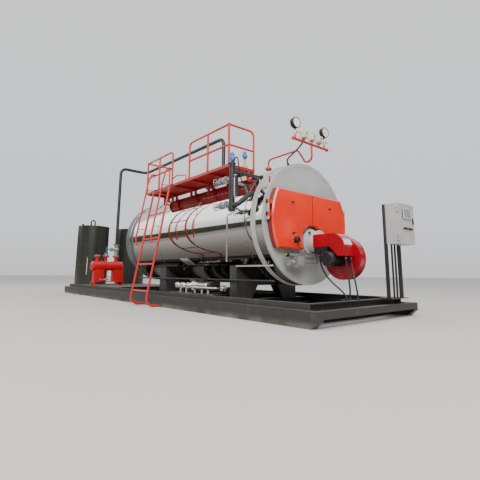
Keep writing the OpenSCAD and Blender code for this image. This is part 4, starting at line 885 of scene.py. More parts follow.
# Diameter and points of each cord's route.
CORD_ROUTES: dict[str, tuple[float, tuple[Point, ...]]] = {
    "burner_cable_1": (0.024, (
        (4.160, -0.150, 0.905), (4.160, -0.150, 0.855), (4.166, -0.151, 0.800),
        (4.180, -0.150, 0.745), (4.199, -0.146, 0.692), (4.223, -0.140, 0.641),
        (4.252, -0.132, 0.592), (4.284, -0.123, 0.548), (4.319, -0.113, 0.508),
        (4.358, -0.102, 0.470), (4.398, -0.090, 0.434), (4.438, -0.077, 0.398),
        (4.475, -0.065, 0.360), (4.505, -0.056, 0.318), (4.518, -0.051, 0.290),
        (4.518, -0.051, 0.262),
    )),
    "burner_cable_2": (0.024, (
        (4.540, -0.060, 0.860), (4.540, -0.060, 0.835), (4.540, -0.060, 0.810),
        (4.544, -0.060, 0.760), (4.551, -0.060, 0.710), (4.558, -0.060, 0.660),
        (4.565, -0.060, 0.612), (4.572, -0.060, 0.562), (4.578, -0.060, 0.512),
        (4.583, -0.060, 0.462), (4.586, -0.060, 0.412), (4.585, -0.060, 0.361),
        (4.582, -0.060, 0.312), (4.582, -0.060, 0.287), (4.582, -0.060, 0.262),
    )),
    "burner_cable_3": (0.024, (
        (4.545, 0.060, 0.860), (4.545, 0.060, 0.834), (4.545, 0.060, 0.808),
        (4.552, 0.056, 0.756), (4.564, 0.047, 0.707), (4.579, 0.037, 0.657),
        (4.596, 0.025, 0.610), (4.615, 0.012, 0.564), (4.633, -0.001, 0.517),
        (4.649, -0.012, 0.469), (4.664, -0.021, 0.418), (4.676, -0.028, 0.368),
        (4.682, -0.030, 0.317), (4.682, -0.030, 0.291), (4.682, -0.030, 0.265),
    )),
    "transmitter_cable": (0.020, (
        (3.411, -1.150, 2.336), (3.446, -1.150, 2.336), (3.474, -1.152, 2.308),
        (3.486, -1.154, 2.264), (3.490, -1.152, 2.216), (3.490, -1.144, 2.170),
        (3.490, -1.132, 2.124), (3.490, -1.118, 2.078), (3.490, -1.106, 2.032),
        (3.490, -1.090, 1.986), (3.490, -1.060, 1.950), (3.490, -1.018, 1.930),
        (3.490, -0.970, 1.926), (3.490, -0.922, 1.934), (3.490, -0.876, 1.956),
        (3.490, -0.834, 1.990), (3.490, -0.792, 2.026), (3.490, -0.749, 2.059),
        (3.490, -0.706, 2.089),
    )),
    "gauge_cable": (0.026, (
        (3.914, -0.175, 2.745), (3.914, -0.175, 2.7185), (3.914, -0.175, 2.692),
        (3.9075, -0.1845, 2.6675), (3.901, -0.194, 2.643), (3.8895, -0.207, 2.621),
        (3.878, -0.220, 2.599), (3.865, -0.234, 2.5775), (3.852, -0.248, 2.556),
        (3.825, -0.276, 2.516), (3.797, -0.304, 2.478), (3.768, -0.334, 2.438),
        (3.754, -0.3465, 2.412), (3.740, -0.359, 2.386), (3.740, -0.350, 2.361),
        (3.740, -0.341, 2.336),
    )),
}


@dataclass
class Cords:
    """Cables that hang between the boiler's own pieces, each on its stated route."""

    sides: int = 12

    def build(self) -> None:
        """Makes every cable and hides the imported one that it takes the place of."""
        tubes = Tubes()
        for name, (diameter, route) in CORD_ROUTES.items():
            data = tubes.along(route, diameter / 2, self.sides, Finish.CABLE)
            cable = place_piece(data, f"{name}_sheath", Finish.CABLE, Body.SKID)
            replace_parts(cable, name)


@dataclass
class ShellDetails(Details):
    """Seams, screws and straps of the cladding."""

    laps: tuple[float, ...] = (-0.699, 0.665, 2.035, 3.405)
    seam_angles: tuple[float, ...] = (36.0, 31.0, 36.0)
    inner: float = SHELL_R + 0.0002
    lap_w: float = 0.034
    lap_t: float = 0.0016
    rivet_size: float = 0.011
    lap_rivets: int = 60
    seam_rivets: int = 13
    lug_y: float = -0.722
    lug_z: float = 0.79

    def _spot(self, x: float, angle: float, radius: float) -> Vector:
        """A point round the shell's axis, with the angle up from the -Y side."""
        y, z = polar(radius, math.radians(angle))
        return Vector((x, -y, SHELL_AXIS + z))

    def _rivet(self, x: float, angle: float) -> None:
        """Marks a rivet on a lap."""
        y, z = polar(1.0, math.radians(angle))
        self.rivets.add(self._spot(x, angle, SHELL_R + self.lap_t), (0, -y, z), self.rivet_size)

    def _wrap(self, form: Form, ends: tuple[Point, Point], angles: Point, outer: float,
              steps: int) -> None:
        """Adds a bent plate on the shell.

        Args:
            form: The form that takes it.
            ends: Lowest and highest X at its first and its last angle.
            angles: Its first and last angle.
            outer: Outer radius.
            steps: Number of lengths round the shell.
        """
        rows = []
        for k in range(steps + 1):
            t = k / steps
            angle = angles[0] + (angles[1] - angles[0]) * t
            low, high = (a + (b - a) * t for a, b in zip(*ends))
            corners = (low, self.inner), (high, self.inner), (high, outer), (low, outer)
            rows.append([self._spot(x, angle, r) for x, r in corners])
        form.skin(rows)

    def _seams(self) -> None:
        """Makes the laps round the shell and the seams between them."""
        outer, half = SHELL_R + self.lap_t, self.lap_w / 2
        outline = [(self.inner, 0), (outer, 0.002), (outer, self.lap_w - 0.002),
                   (self.inner, self.lap_w)]
        form = Form()
        for x in self.laps:
            form.hoop(outline, (x - half, 0, SHELL_AXIS), FRONT, 96)
            for k in range(self.lap_rivets):
                self._rivet(x, k * 360 / self.lap_rivets + 1.5)
        span = math.degrees(half / SHELL_R)
        for turn in (0.0, 180.0):
            for low, high, seam in zip(self.laps, self.laps[1:], self.seam_angles):
                angle, ends = seam + turn, (low + half, high - half)
                self._wrap(form, (ends, ends), (angle - span, angle + span), outer, 3)
                for k in range(self.seam_rivets):
                    share = (k + 0.5) / self.seam_rivets
                    self._rivet(ends[0] + (ends[1] - ends[0]) * share, angle)
        form.piece("cladding_seams", Finish.SEAM)

    def build(self) -> None:
        """Makes the seams and the straps."""
        self._seams()
        plate = Form()
        ends = (1.602, 1.335), (1.737, 1.495)
        self._wrap(plate, ends, (-32.0, -41.2), SHELL_R + 0.005, 8)
        plate.piece("cladding_strap", Finish.BRIGHT)
        foot, tip = (self._spot(1.40, -44.0, SHELL_R + rise) for rise in (0, 0.05))
        knob = Form().bar(foot, tip, 0.009, 16)
        outline = [(0, 0), (0.02, 0.002), (0.026, 0.014), (0.02, 0.03), (0, 0.034)]
        knob.lathe(outline, tip, tip - foot, 24).piece("strap_knob", Finish.BLACK)
        lug = Form()
        for x, lean in ((3.622, 14.0), (3.683, -14.0)):
            turn = Matrix.Rotation(math.radians(lean), 3, "Y")
            lug.slab((x, self.lug_y, 0.818), (0.008, 0.05, 0.135), turn, 0.002)
        lug.bar((3.59, self.lug_y, self.lug_z), (3.715, self.lug_y, self.lug_z), 0.007, 12)
        lug.piece("band_lug", Finish.BRIGHT)
        for x, way in ((3.596, REAR), (3.700, FRONT)):
            self.bolts.add((x, self.lug_y, self.lug_z), way, 0.02)
        rail = Form().block((2.916, -0.7145, 0.7165), (3.765, -0.7115, 0.7395), 0.0008)
        rail.piece("rail_edge", Finish.RIM)


@dataclass
class FrontDetails(Details):
    """Tube ends that show when the doors stand open."""

    plate_x: float = 3.826
    pitch: float = 0.088
    reach: float = 0.80
    top: float = 1.84
    neck_z: float = 1.1
    neck_gap: float = 0.33

    def build(self) -> None:
        """Makes the tube ends on both sides of the burner's neck."""
        form = Form()
        bead = [(0.029, 0.0004), (0.0335, 0.0004), (0.0335, 0.004), (0.031, 0.006), (0.029, 0.004)]
        for row in range(-5, 8):
            z = SHELL_AXIS + 0.06 + row * self.pitch * 0.866
            for col in range(-9, 10):
                y = (col + 0.5 * (row % 2)) * self.pitch
                near_neck = math.hypot(y, z - self.neck_z) < self.neck_gap
                if math.hypot(y, z - SHELL_AXIS) > self.reach or near_neck or z > self.top:
                    continue
                form.hoop(bead, (self.plate_x, y, z), FRONT, 14)
                form.solid([(0.0285, 0.0003), (0.0285, 0.0012)], (self.plate_x, y, z), FRONT, 14)
        form.piece("tube_ends", Finish.SOOT)


@dataclass
class DoorDetails(Details):
    """Sight port, knobs and bolts of the front doors."""

    port_y: float = -0.41
    port_z: float = SHELL_AXIS - 0.297
    port_depth: float = 0.0557
    latch: tuple[float, float] = (-0.465, SHELL_AXIS - 0.197)
    knob_z: float = SHELL_AXIS + 0.261

    def build(self) -> None:
        """Makes the fittings of both doors."""
        left, right = Form(), Form()
        foot = (DOOR_FACE, self.port_y, self.port_z)
        port = (DOOR_FACE + self.port_depth, self.port_y, self.port_z)
        left.solid([(0.046, 0), (0.046, 0.01), (0.041, 0.014), (0.041, 0.05), (0.037, 0.0556)],
                   foot, FRONT, 40)
        left.solid([(0.014, 0), (0.014, 0.02), (0.01, 0.024), (0.01, 0.05), (0.006, 0.055)],
                   (DOOR_FACE, *self.latch), FRONT, 20)
        knob = [(0, 0), (0.016, 0), (0.016, 0.003), (0.007, 0.006), (0.007, 0.02), (0.013, 0.024),
                (0.013, 0.036), (0.009, 0.042), (0, 0.044)]
        for form, y in ((left, -0.475), (right, 0.430)):
            form.lathe(knob, (DOOR_FACE, y, self.knob_z), FRONT, 28)
        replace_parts(left.piece("left_door_fittings", Finish.BLACK, Body.LEFT_DOOR),
                    "door_fittings_left")
        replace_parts(right.piece("right_door_fittings", Finish.BLACK, Body.RIGHT_DOOR),
                    "door_fittings_right")
        ring = Form().ring(port, FRONT, 0.036, 0.005, 32)
        ring.piece("sight_port_ring", Finish.BLACK, Body.LEFT_DOOR)
        glass = Form().lathe([(0, 0.0004), (0.03, 0.0004), (0.028, 0.003), (0, 0.004)],
                             port, FRONT, 28)
        glass.piece("sight_port_glass", Finish.GLASS, Body.LEFT_DOOR)
        self.fasteners.bolts[Body.LEFT_DOOR].circle(foot, FRONT, 0.062, 6, 0.014, 30)


@dataclass
class BurnerDetails(Details):
    """Seams, bolts, glands and cover plates of the burner and its gas train."""

    scroll_x: float = 4.375
    scroll_z: float = 0.836
    guard_y: float = 0.2305
    neck: tuple[float, float] = (0, 1.1)
    motor: tuple[float, float] = (4.350, 0.824)
    sheath_r: float = 0.0125

    def _duct(self) -> None:
        """Makes the duct's seam, a pale curved plate on the top of the duct's bend and the cover
        screws.
        """
        seam = Form().block((4.345, -0.1718, 1.001), (4.351, -0.1698, 1.1866), 0.0004)
        seam.block((4.345, -0.1715, 1.1866), (4.351, 0.0895, 1.1886), 0.0004)
        seam.piece("duct_seam", Finish.SHADOW)
        # a thin pale plate that follows the top of the duct's bend
        rows = []
        for k in range(9):
            corners = []
            for r, y in ((0.2003, -0.15), (0.2003, 0.03), (0.202, 0.03), (0.202, -0.15)):
                x, z = polar(r, math.radians(9 + 3.2 * k))
                corners.append((4.390 + x, y, 0.987 + z))
            rows.append(corners)
        Form().skin(rows).piece("bare_plate", Finish.PLATE)
        screws = self.fasteners.painted[Body.SKID]
        for x in (4.08, 4.2, 4.32, 4.37, 4.57):
            screws.add((x, -0.1705, 1.175), LEFT, 0.011)
        for y, way in ((0.0895, LEFT), (0.2255, RIGHT)):
            screws.circle((self.scroll_x, y, self.scroll_z), way, 0.288, 18, 0.014, 10)
        screws.circle((3.874, *self.neck), FRONT, 0.2065, 12, 0.012, 15)

    def _scroll(self) -> None:
        """Makes the scroll's rims and its inlet guard on the far side."""
        rim, guard = Form(), Form()
        for y in (0.094, 0.221):
            centre = (self.scroll_x, y, self.scroll_z)
            rim.hoop(band(0.3052, 0.309, 0.008, -0.004), centre, LEFT, 72)
        rim.piece("scroll_rims", Finish.BURNER)
        centre = Vector((self.scroll_x, self.guard_y, self.scroll_z))
        for radius in (0.05, 0.09, 0.13, 0.17, 0.21):
            guard.ring(centre, LEFT, radius, 0.003, 48)
        for k in range(6):
            x, z = polar(1.0, math.tau * k / 6)
            along = Vector((x, 0, z))
            guard.bar(centre + along * 0.01, centre + along * 0.212, 0.0028, 8)
        guard.piece("inlet_guard", Finish.BLACK)

    def _motor(self) -> None:
        """Makes the motor's fins and fan cowl."""
        mid_x, mid_z = self.motor
        fins, cowl = Form(), Form()
        for k in range(30):
            x, z = polar(1.0, math.tau * k / 30)
            out = Vector((x, 0, z))
            if out.x >= -0.72:
                turn = turned(Vector(RIGHT).cross(out), RIGHT, out)
                spot = Vector((mid_x, 0, mid_z)) + out * 0.1026 + Vector((0, -0.06, 0))
                fins.slab(spot, (0.0026, 0.225, 0.0056), turn, 0.0006)
        fins.piece("motor_fins", Finish.BLACK)
        cowl.lathe([(0, 0.252), (0.03, 0.252), (0.03, 0.256), (0.06, 0.2565), (0.09, 0.256),
                    (0.1, 0.25), (0.107, 0.24), (0.107, 0.185), (0.1006, 0.185), (0.1006, 0.2515)],
                   (mid_x, 0, mid_z), LEFT, 48)
        for radius in (0.045, 0.06, 0.075):
            cowl.ring((mid_x, -0.2575, mid_z), LEFT, radius, 0.0022, 40)
        cowl.piece("motor_cowl", Finish.BLACK)
        self.bolts.circle((mid_x, -0.2565, mid_z), LEFT, 0.084, 4, 0.008, 45)

    def _glands(self) -> None:
        """Makes the cable glands at both ends of each cable."""
        bore = self.sheath_r
        glands, tips = Form(), Form()
        for x, y, z, long in ((4.160, -0.150, 0.9046, 0.036), (4.540, -0.060, 0.8596, 0.038),
                              (4.545, 0.060, 0.8596, 0.038)):
            glands.hoop([(bore, 0), (0.022, 0), (0.022, 0.016), (0.019, 0.018), (bore, 0.018)],
                        (x, y, z), DOWN, 6)
            tips.hoop([(bore, 0.0181), (0.0185, 0.0181), (0.0165, long), (bore, long)],
                      (x, y, z), DOWN, 20)
        for spot in ((4.518, -0.051, 0.2625), (4.582, -0.060, 0.2625), (4.682, -0.030, 0.2655)):
            glands.hoop([(bore, 0), (0.021, 0), (0.021, 0.012), (0.017, 0.024), (bore, 0.026)],
                        spot, UP, 20)
        glands.piece("cable_glands", Finish.RUBBER)
        tips.piece("gland_tips", Finish.GLAND)

    def _gas(self) -> None:
        """Makes the gas valve's cover, plug, union nuts and test points."""
        plate = Form().block((3.924, -0.628, 0.849), (3.976, -0.5923, 0.901), 0.006)
        plate.piece("gas_valve_plug", Finish.BLACK)
        cover = Form().block((4.0053, -0.45, 0.735), (4.0093, -0.31, 0.862), 0.0015)
        cover.piece("gas_valve_cover", Finish.CAST)
        nuts, brass = Form(), Form()
        nut_r = 0.046
        for y, z, way in ((-0.2613, 0.86, RIGHT), (-0.5077, 0.768, LEFT)):
            nuts.solid(plug(nut_r, nut_r * 0.9, nut_r * 0.9, 0.024), (3.95, y, z), way, 6)
        nuts.piece("gas_union_nuts", Finish.CAST)
        brass.bar((3.95, -0.6283, 0.875), (3.95, -0.652, 0.875), 0.016, 6, 0.002)
        brass.bar((3.95, -0.652, 0.875), (3.95, -0.674, 0.875), 0.011, 16, 0.001)
        brass.bar((4.0052, -0.32, 0.715), (4.02, -0.32, 0.715), 0.009, 6, 0.001)
        brass.piece("gas_test_points", Finish.BRASS)
        for y in (-0.482, -0.28):
            for z in (0.712, 0.882):
                self.bolts.add((4.0052, y, z), FRONT, 0.014)

    def _neck(self) -> None:
        """Makes the neck's rims and its black knob."""
        ring = Form()
        for x in (3.93, 4.05):
            ring.hoop(band(0.1652, 0.169, 0.008), (x, *self.neck), FRONT, 64)
        ring.piece("neck_rims", Finish.NECK)
        y, z = polar(1.0, math.radians(38))
        out = Vector((0, -y, z))
        foot = Vector((3.99, *self.neck)) + out * 0.165
        knob = Form().bar(foot - out * 0.0005, foot + out * 0.028, 0.008, 14)
        outline = [(0, 0), (0.018, 0.002), (0.023, 0.013), (0.018, 0.026), (0, 0.03)]
        knob.lathe(outline, foot + out * 0.026, out, 24).piece("neck_knob", Finish.BLACK)

    def build(self) -> None:
        """Makes every detail of the burner."""
        for part in (self._duct, self._scroll, self._motor, self._glands, self._gas, self._neck):
            part()


@dataclass
class GaugeDetails(Details):
    """Dials of the steam gauges, switch covers and the header's fittings."""

    front: float = 3.981
    dial_r: float = 0.0755
    sweep: float = 270.0
    zero: float = 225.0
    ticks: int = 40
    numbers: tuple[str, ...] = ("0", "4", "8", "12", "16")
    gauges: tuple[tuple[str, float, float], ...] = (
        ("near_gauge", -0.390, 2.935), ("far_gauge", 0.335, 2.960),
    )

    def _out(self, share: float) -> Vector:
        """Direction from a dial's middle to a share of its scale."""
        return Vector((0, *polar(1.0, math.radians(self.zero - share * self.sweep))))

    def _numeral(self, text: str, height: float, place: Vector) -> bpy.types.Mesh:
        """A plain number as a flat mesh that faces the front, about its middle."""
        curve = bpy.data.curves.new("numeral", "FONT")
        curve.body = text
        curve.size = height
        curve.align_x = curve.align_y = "CENTER"
        curve.extrude = 0.0002
        carrier = bpy.data.objects.new("numeral", curve)
        bpy.context.scene.collection.objects.link(carrier)
        data = plain_mesh(carrier)
        bpy.data.objects.remove(carrier)
        data.transform(Matrix.Translation(place) @ turned(RIGHT, UP, FRONT).to_4x4())
        return data

    def _dial(self, name: str, centre: Vector, reading: float) -> None:
        """Makes one dial with its ticks, numbers, pointer and bezel.

        Args:
            name: Name that its pieces start with.
            centre: Its middle.
            reading: Share of the scale that the pointer shows.
        """
        face = Form().solid([(self.dial_r, 0), (self.dial_r, 0.001)], centre, FRONT, 64)
        face.piece(f"{name}_dial", Finish.DIAL)
        rim = [(0.0757, 0), (0.0885, 0), (0.0885, 0.004), (0.084, 0.008), (0.078, 0.006),
               (0.0757, 0.003)]
        bezel = Form().hoop(rim, centre - Vector((0.0005, 0, 0)), FRONT, 64)
        bezel.piece(f"{name}_bezel", Finish.BLACK)
        marks = Form()
        for k in range(self.ticks + 1):
            out = self._out(k / self.ticks)
            wide, long = (0.0016, 0.010) if k % 5 == 0 else (0.0008, 0.005)
            marks.slab(centre + out * (0.069 - long / 2) + Vector((0.0014, 0, 0)),
                       (wide, long, 0.0005), turned(Vector(FRONT).cross(out), out, FRONT))
        out = self._out(reading)
        marks.slab(centre + out * 0.018 + Vector((0.0032, 0, 0)), (0.0028, 0.082, 0.0008),
                   turned(Vector(FRONT).cross(out), out, FRONT), 0.0003)
        marks.solid([(0.007, 0.001), (0.007, 0.004), (0.005, 0.005)], centre, FRONT, 20)
        data = marks.mesh(f"{name}_marks")
        joined = bmesh.new()
        joined.from_mesh(data)
        for k, text in enumerate(self.numbers):
            out = self._out(k / (len(self.numbers) - 1))
            spot = centre + Vector((0.0012, 0, 0)) + out * 0.05
            joined.from_mesh(self._numeral(text, 0.014, spot))
        joined.to_mesh(data)
        joined.free()
        place_piece(data, f"{name}_marks", Finish.INK, Body.SKID)

    def _switches(self) -> None:
        """Makes the switches' covers, windows and base rings."""
        covers, bases, windows = Form(), Form(), Form()
        for y in (-0.175, 0.017, 0.195):
            covers.block((3.9955, y - 0.040, 2.765), (3.9995, y + 0.040, 2.838), 0.0015)
            covers.block((3.904, y - 0.044, 2.8455), (3.992, y + 0.044, 2.8545), 0.004)
            windows.block((3.9994, y - 0.011, 2.79), (4.0004, y + 0.011, 2.826), 0.0003)
            bases.solid(plug(0.038, 0.03, 0.03, 0.018), (3.948, y, 2.7265), UP)
            for side in (-0.034, 0.034):
                for z in (2.771, 2.832):
                    self.rivets.add((3.9995, y + side, z), FRONT, 0.007)
        covers.piece("switch_covers", Finish.BEIGE)
        bases.piece("switch_bases", Finish.CAST)
        windows.piece("switch_windows", Finish.GLASS)

    def build(self) -> None:
        """Makes the gauges and switches."""
        for name, y, z in self.gauges:
            self._dial(name, Vector((self.front, y, z)), 0.42)
        self._switches()
        levers, caps = Form(), Form()
        for _, y, _ in self.gauges:
            levers.slab((3.996, y + 0.02, 2.775), (0.004, 0.055, 0.010), None, 0.0015)
        levers.piece("cock_levers", Finish.RED)
        for y, way in ((-0.4305, LEFT), (0.3955, RIGHT)):
            caps.solid(plug(0.03, 0.027, 0.024, 0.028, high=0.006), (3.948, y, 2.675), way, 6)
        caps.piece("header_caps", Finish.RED)
        flange = Form().hoop([(0.0212, 0), (0.034, 0), (0.03, 0.008), (0.0212, 0.012)],
                             (2.961, 0, 2.5003), UP, 32)
        flange.piece("siphon_weld", Finish.RED)
        self.bolts.circle((2.961, 0, 2.5002), UP, 0.047, 8, 0.016)


@dataclass
class ColumnDetails(Details):
    """Gauge glass, bolts, caps and rings of the water column."""

    x: float = 3.339
    y: float = -1.150

    def build(self) -> None:
        """Makes the column's details."""
        for k in range(8):
            for x in (3.399, 3.455):
                self.bolts.add((x, -1.1742, 1.757 + k * 0.038), LEFT, 0.006)
        for z in (1.638, 2.030):
            for x, way in ((3.0758, REAR), (3.2222, FRONT)):
                self.bolts.circle((x, self.y, z), way, 0.049, 4, 0.014, 45)
        strip = Form().block((3.4205, -1.1765, 1.752), (3.4335, -1.1738, 2.030), 0.0006)
        strip.piece("gauge_glass_strip", Finish.WHITE)
        frame, nuts, rings = Form(), Form(), Form()
        for x in (3.4135, 3.4375):
            frame.block((x, -1.178, 1.745), (x + 0.003, -1.1738, 2.037), 0.0006)
        frame.piece("gauge_glass_frame", Finish.BLACK)
        for z in (1.715, 2.043):
            nuts.solid(plug(0.022, 0.02, 0.018, 0.028, low=0.003), (3.427, -1.156, z), UP, 6)
        nuts.piece("gauge_glass_nuts", Finish.ZINC)
        for z in (1.5695, 1.9, 2.205, 2.2445):
            rings.hoop(band(0.0463, 0.0505, 0.008), (self.x, self.y, z), UP)
        rings.solid(plug(0.054, 0.05, 0.048, 0.026, 0.006, 0.006), (self.x, self.y, 1.5235), UP, 40)
        rings.piece("column_rings", Finish.PIPE_DARK)


@dataclass
class HeadDetails(Details):
    """Blue housings of the level instruments on the column and the probe."""

    stems: tuple[Point, ...] = ((3.339, -1.150, 2.2713), (2.300, 0.0, 2.8213))
    facing: Point = (0.62, -0.78, 0.0)
    lip: float = 1.08

    def _housing(self, radius: float, reach: float) -> Outline:
        """Outline of a round housing with a lip at each end."""
        lip = radius * self.lip
        half = [(radius * 0.8, reach), (lip, reach - 0.006), (lip, reach - 0.016),
                (radius, reach - 0.018)]
        return [*((r, -h) for r, h in half), *reversed(half)]

    def build(self) -> None:
        """Makes both housings as one piece, with their covers' bolts."""
        form = Form()
        out = Vector(self.facing).normalized()
        for stem in self.stems:
            foot = Vector(stem)
            form.solid([(0.026, 0), (0.026, 0.008), (0.018, 0.012), (0.018, 0.03)], foot, UP, 28)
            for rise, radius, reach in ((0.066, 0.041, 0.046), (0.129, 0.029, 0.036)):
                centre = foot + Vector((0, 0, rise))
                form.solid(self._housing(radius, reach), centre, out, 40)
            form.bar(foot + Vector((0, 0, 0.09)), foot + Vector((0, 0, 0.12)), 0.02, 24)
            side = foot + Vector((0.025, 0, 0.0647))
            form.bar(side, side + Vector((0.0465, 0, 0)), 0.0135, 6, 0.002)
            cover = foot + Vector((0, 0, 0.066)) + out * 0.046
            self.rivets.circle(cover, out, 0.027, 4, 0.008, 45)
        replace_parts(form.piece("instrument_heads", Finish.BLUE), "level_transmitter")


@dataclass
class WalkwayDetails(Details):
    """Raised tread of the deck."""

    pitch: float = 0.06
    stud: float = 0.03
    slim: float = 0.34
    top: float = 2.3322

    def _steps(self, low: float, high: float) -> list[float]:
        """Places of the studs along one side of the deck."""
        places, at = [], low
        while at < high - 0.03:
            places.append(at)
            at += self.pitch
        return places

    def build(self) -> None:
        """Makes the tread pattern."""
        low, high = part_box("walkway_deck")
        spots = Spots()
        for x in self._steps(low[0] + 0.04, high[0]):
            for y in self._steps(low[1] + 0.045, high[1]):
                spots.add((x, y, self.top), UP, self.stud)
        outline = [(0, -0.02), (0.5, -0.02), (0.36, 0.12), (0, 0.16)]
        stud = Form().lathe(outline, ORIGIN, UP, 6).mesh("stud")
        for vert in stud.vertices:
            vert.co.y *= self.slim
        self.fasteners.scatter(spots, stud, "deck_tread", Finish.WALKWAY, Body.SKID, 3, 3.1)


@dataclass
class CabinetDetails(Details):
    """Screen, buttons, handle and rims of the control cabinet."""

    front: float = 5.0385
    button_z: float = 1.268

    def build(self) -> None:
        """Makes the cabinet's details on its door."""
        forms = {
            "screen_bezel": Finish.PLATE, "screen": Finish.SCREEN, "button_rims": Finish.ZINC,
            "buttons_dark": Finish.BLACK, "buttons_red": Finish.BURNER,
            "door_handle": Finish.BLACK, "door_rims": Finish.CABINET,
        }
        bezel, screen, rims, dark, red, lock, seal = made = [Form() for _ in forms]
        x = self.front + 0.012
        for low, high in (((0.6505, 1.4155), (0.9145, 1.428)), ((0.6505, 1.552), (0.9145, 1.5645)),
                          ((0.6505, 1.428), (0.664, 1.552)), ((0.901, 1.428), (0.9145, 1.552))):
            bezel.block((x - 0.0005, *low), (x + 0.006, *high), 0.0012)
        screen.block((x, 0.6645, 1.4285), (x + 0.002, 0.9005, 1.5515), 0.0006)
        rim = [(0.0173, 0), (0.023, 0), (0.023, 0.004), (0.02, 0.007), (0.0173, 0.007)]
        cap = [(0, 0), (0.0155, 0), (0.0155, 0.006), (0.012, 0.009), (0, 0.01)]
        for i, button in enumerate((dark, red, dark, red)):
            y = 0.670 + i * 0.075
            rims.hoop(rim, (self.front + 0.0002, y, self.button_z), FRONT, 28)
            button.lathe(cap, (self.front + 0.0222, y, self.button_z), FRONT, 28)
        lock.block((self.front + 0.0002, 0.957, 1.345), (self.front + 0.005, 0.981, 1.445), 0.002)
        lock.block((self.front + 0.0052, 0.962, 1.35), (self.front + 0.016, 0.976, 1.43), 0.004)
        for low, high in (((0.560, 1.0455), (1.0095, 1.0485)), ((0.560, 1.6315), (1.0095, 1.6345))):
            seal.block((self.front - 0.0002, *low), (self.front + 0.0012, *high), 0.0004)
        for form, (name, finish) in zip(made, forms.items()):
            form.piece(name, finish, Body.PANEL_DOOR)


@dataclass
class TankDetails(Details):
    """Weld lines, level glass and fittings of the two tanks."""

    x: float = -4.330
    y: float = 0.630
    weld_r: float = 0.4595
    glass_r: float = 0.495

    def build(self) -> None:
        """Makes the tanks' details."""
        welds, glass, ends = Form(), Form(), Form()
        lid_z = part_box("tank_lids")[0][2] + 0.0142
        for y, quarter in ((-self.y, -90), (self.y, 90)):
            for z in (0.861, 1.451):
                welds.hoop(weld(0.4601, 0.4616), (self.x, y, z), UP, 96)
            for low, high, angle in ((0.275, 0.859, -20), (0.863, 1.449, 30), (1.453, 2.035, -20)):
                dx, dy = polar(self.weld_r, math.radians(angle + quarter))
                spot = (self.x + dx, y + dy)
                welds.bar((*spot, low), (*spot, high), 0.0028, 8)
            self.bolts.circle((self.x, y, lid_z), UP, 0.44, 16, 0.018)
        welds.piece("tank_welds", Finish.TANK)
        out = Vector((0.387, -0.249, 0)).normalized()
        side = Vector((self.x, -self.y, 0)) + out * self.glass_r
        glass.bar(side + Vector((0, 0, 0.575)), side + Vector((0, 0, 1.05)), 0.009, 16)
        glass.piece("tank_level_glass", Finish.WHITE)
        for z in (0.56, 1.065):
            ends.bar(side - out * 0.0355 + Vector((0, 0, z)), side + Vector((0, 0, z)), 0.011, 16)
            foot = side + Vector((0, 0, z - 0.017))
            ends.solid(plug(0.018, 0.016, 0.014, 0.034), foot, UP, 6)
        ends.piece("level_glass_ends", Finish.BRASS)


@dataclass
class HeaderDetails(Details):
    """Lifting lug, weld rings and flange bolts of the steam header."""

    x: float = -2.870
    z: float = 0.803
    lug_y: float = -0.838
    ends: tuple[float, ...] = (-1.078, -0.258)
    branches: tuple[float, ...] = (-0.958, -0.718, -0.440)

    def build(self) -> None:
        """Makes the header's details."""
        rings = Form()
        for y in self.ends:
            rings.hoop(weld(0.1301, 0.1322), (self.x, y, self.z), LEFT, 64)
        for y in self.branches:
            rings.hoop([(0.0442, 0), (0.053, 0), (0.0442, 0.012)], (self.x, y, self.z + 0.124), UP)
            self.bolts.circle((self.x, y, 1.0628), DOWN, 0.069, 8, 0.02, 22.5)
        rings.piece("header_welds", Finish.HEADER)
        lug = Form().ring((self.x, self.lug_y, self.z + 0.152), LEFT, 0.024, 0.007, 32, 10)
        lug.slab((self.x, self.lug_y, self.z + 0.134), (0.034, 0.012, 0.014), None, 0.002)
        lug.piece("header_lug", Finish.HEADER)


@dataclass
class PumpDetails(Details):
    """Cooling fins, fan cowl and stage rims of the feed pump."""

    y: float = -0.860
    z: float = 0.395
    cowl_x: float = 2.5095

    def build(self) -> None:
        """Makes the pump motor's details."""
        fins, cowl, box, rims = Form(), Form(), Form(), Form()
        for k in range(28):
            out = Vector((0, *polar(1.0, math.tau * k / 28)))
            if out.z >= -0.8:
                turn = turned(FRONT, out.cross(Vector(FRONT)), out)
                spot = Vector((2.23, self.y, self.z)) + out * 0.0745
                fins.slab(spot, (0.27, 0.0026, 0.0056), turn, 0.0006)
        fins.piece("pump_motor_fins", Finish.RUBBER)
        end = (self.cowl_x, self.y, self.z)
        cowl.solid([(0.06, 0), (0.077, 0.006), (0.079, 0.02), (0.079, 0.085), (0.0722, 0.085),
                    (0.0722, 0.0302)], end, REAR, 48)
        for radius in (0.02, 0.035, 0.05):
            cowl.ring(end, FRONT, radius, 0.002, 40)
        cowl.piece("pump_fan_cowl", Finish.RUBBER)
        box.block((2.16, self.y - 0.05, self.z + 0.069), (2.27, self.y + 0.05, self.z + 0.125),
                  0.006)
        box.piece("pump_terminal_box", Finish.RUBBER)
        for x in (1.4, 1.6, 1.8):
            for side in (-0.032, 0.032):
                rims.hoop(band(0.0502, 0.058, 0.01, -0.005), (x + side, self.y, self.z), FRONT)
        rims.piece("pump_stage_rims", Finish.STAINLESS)


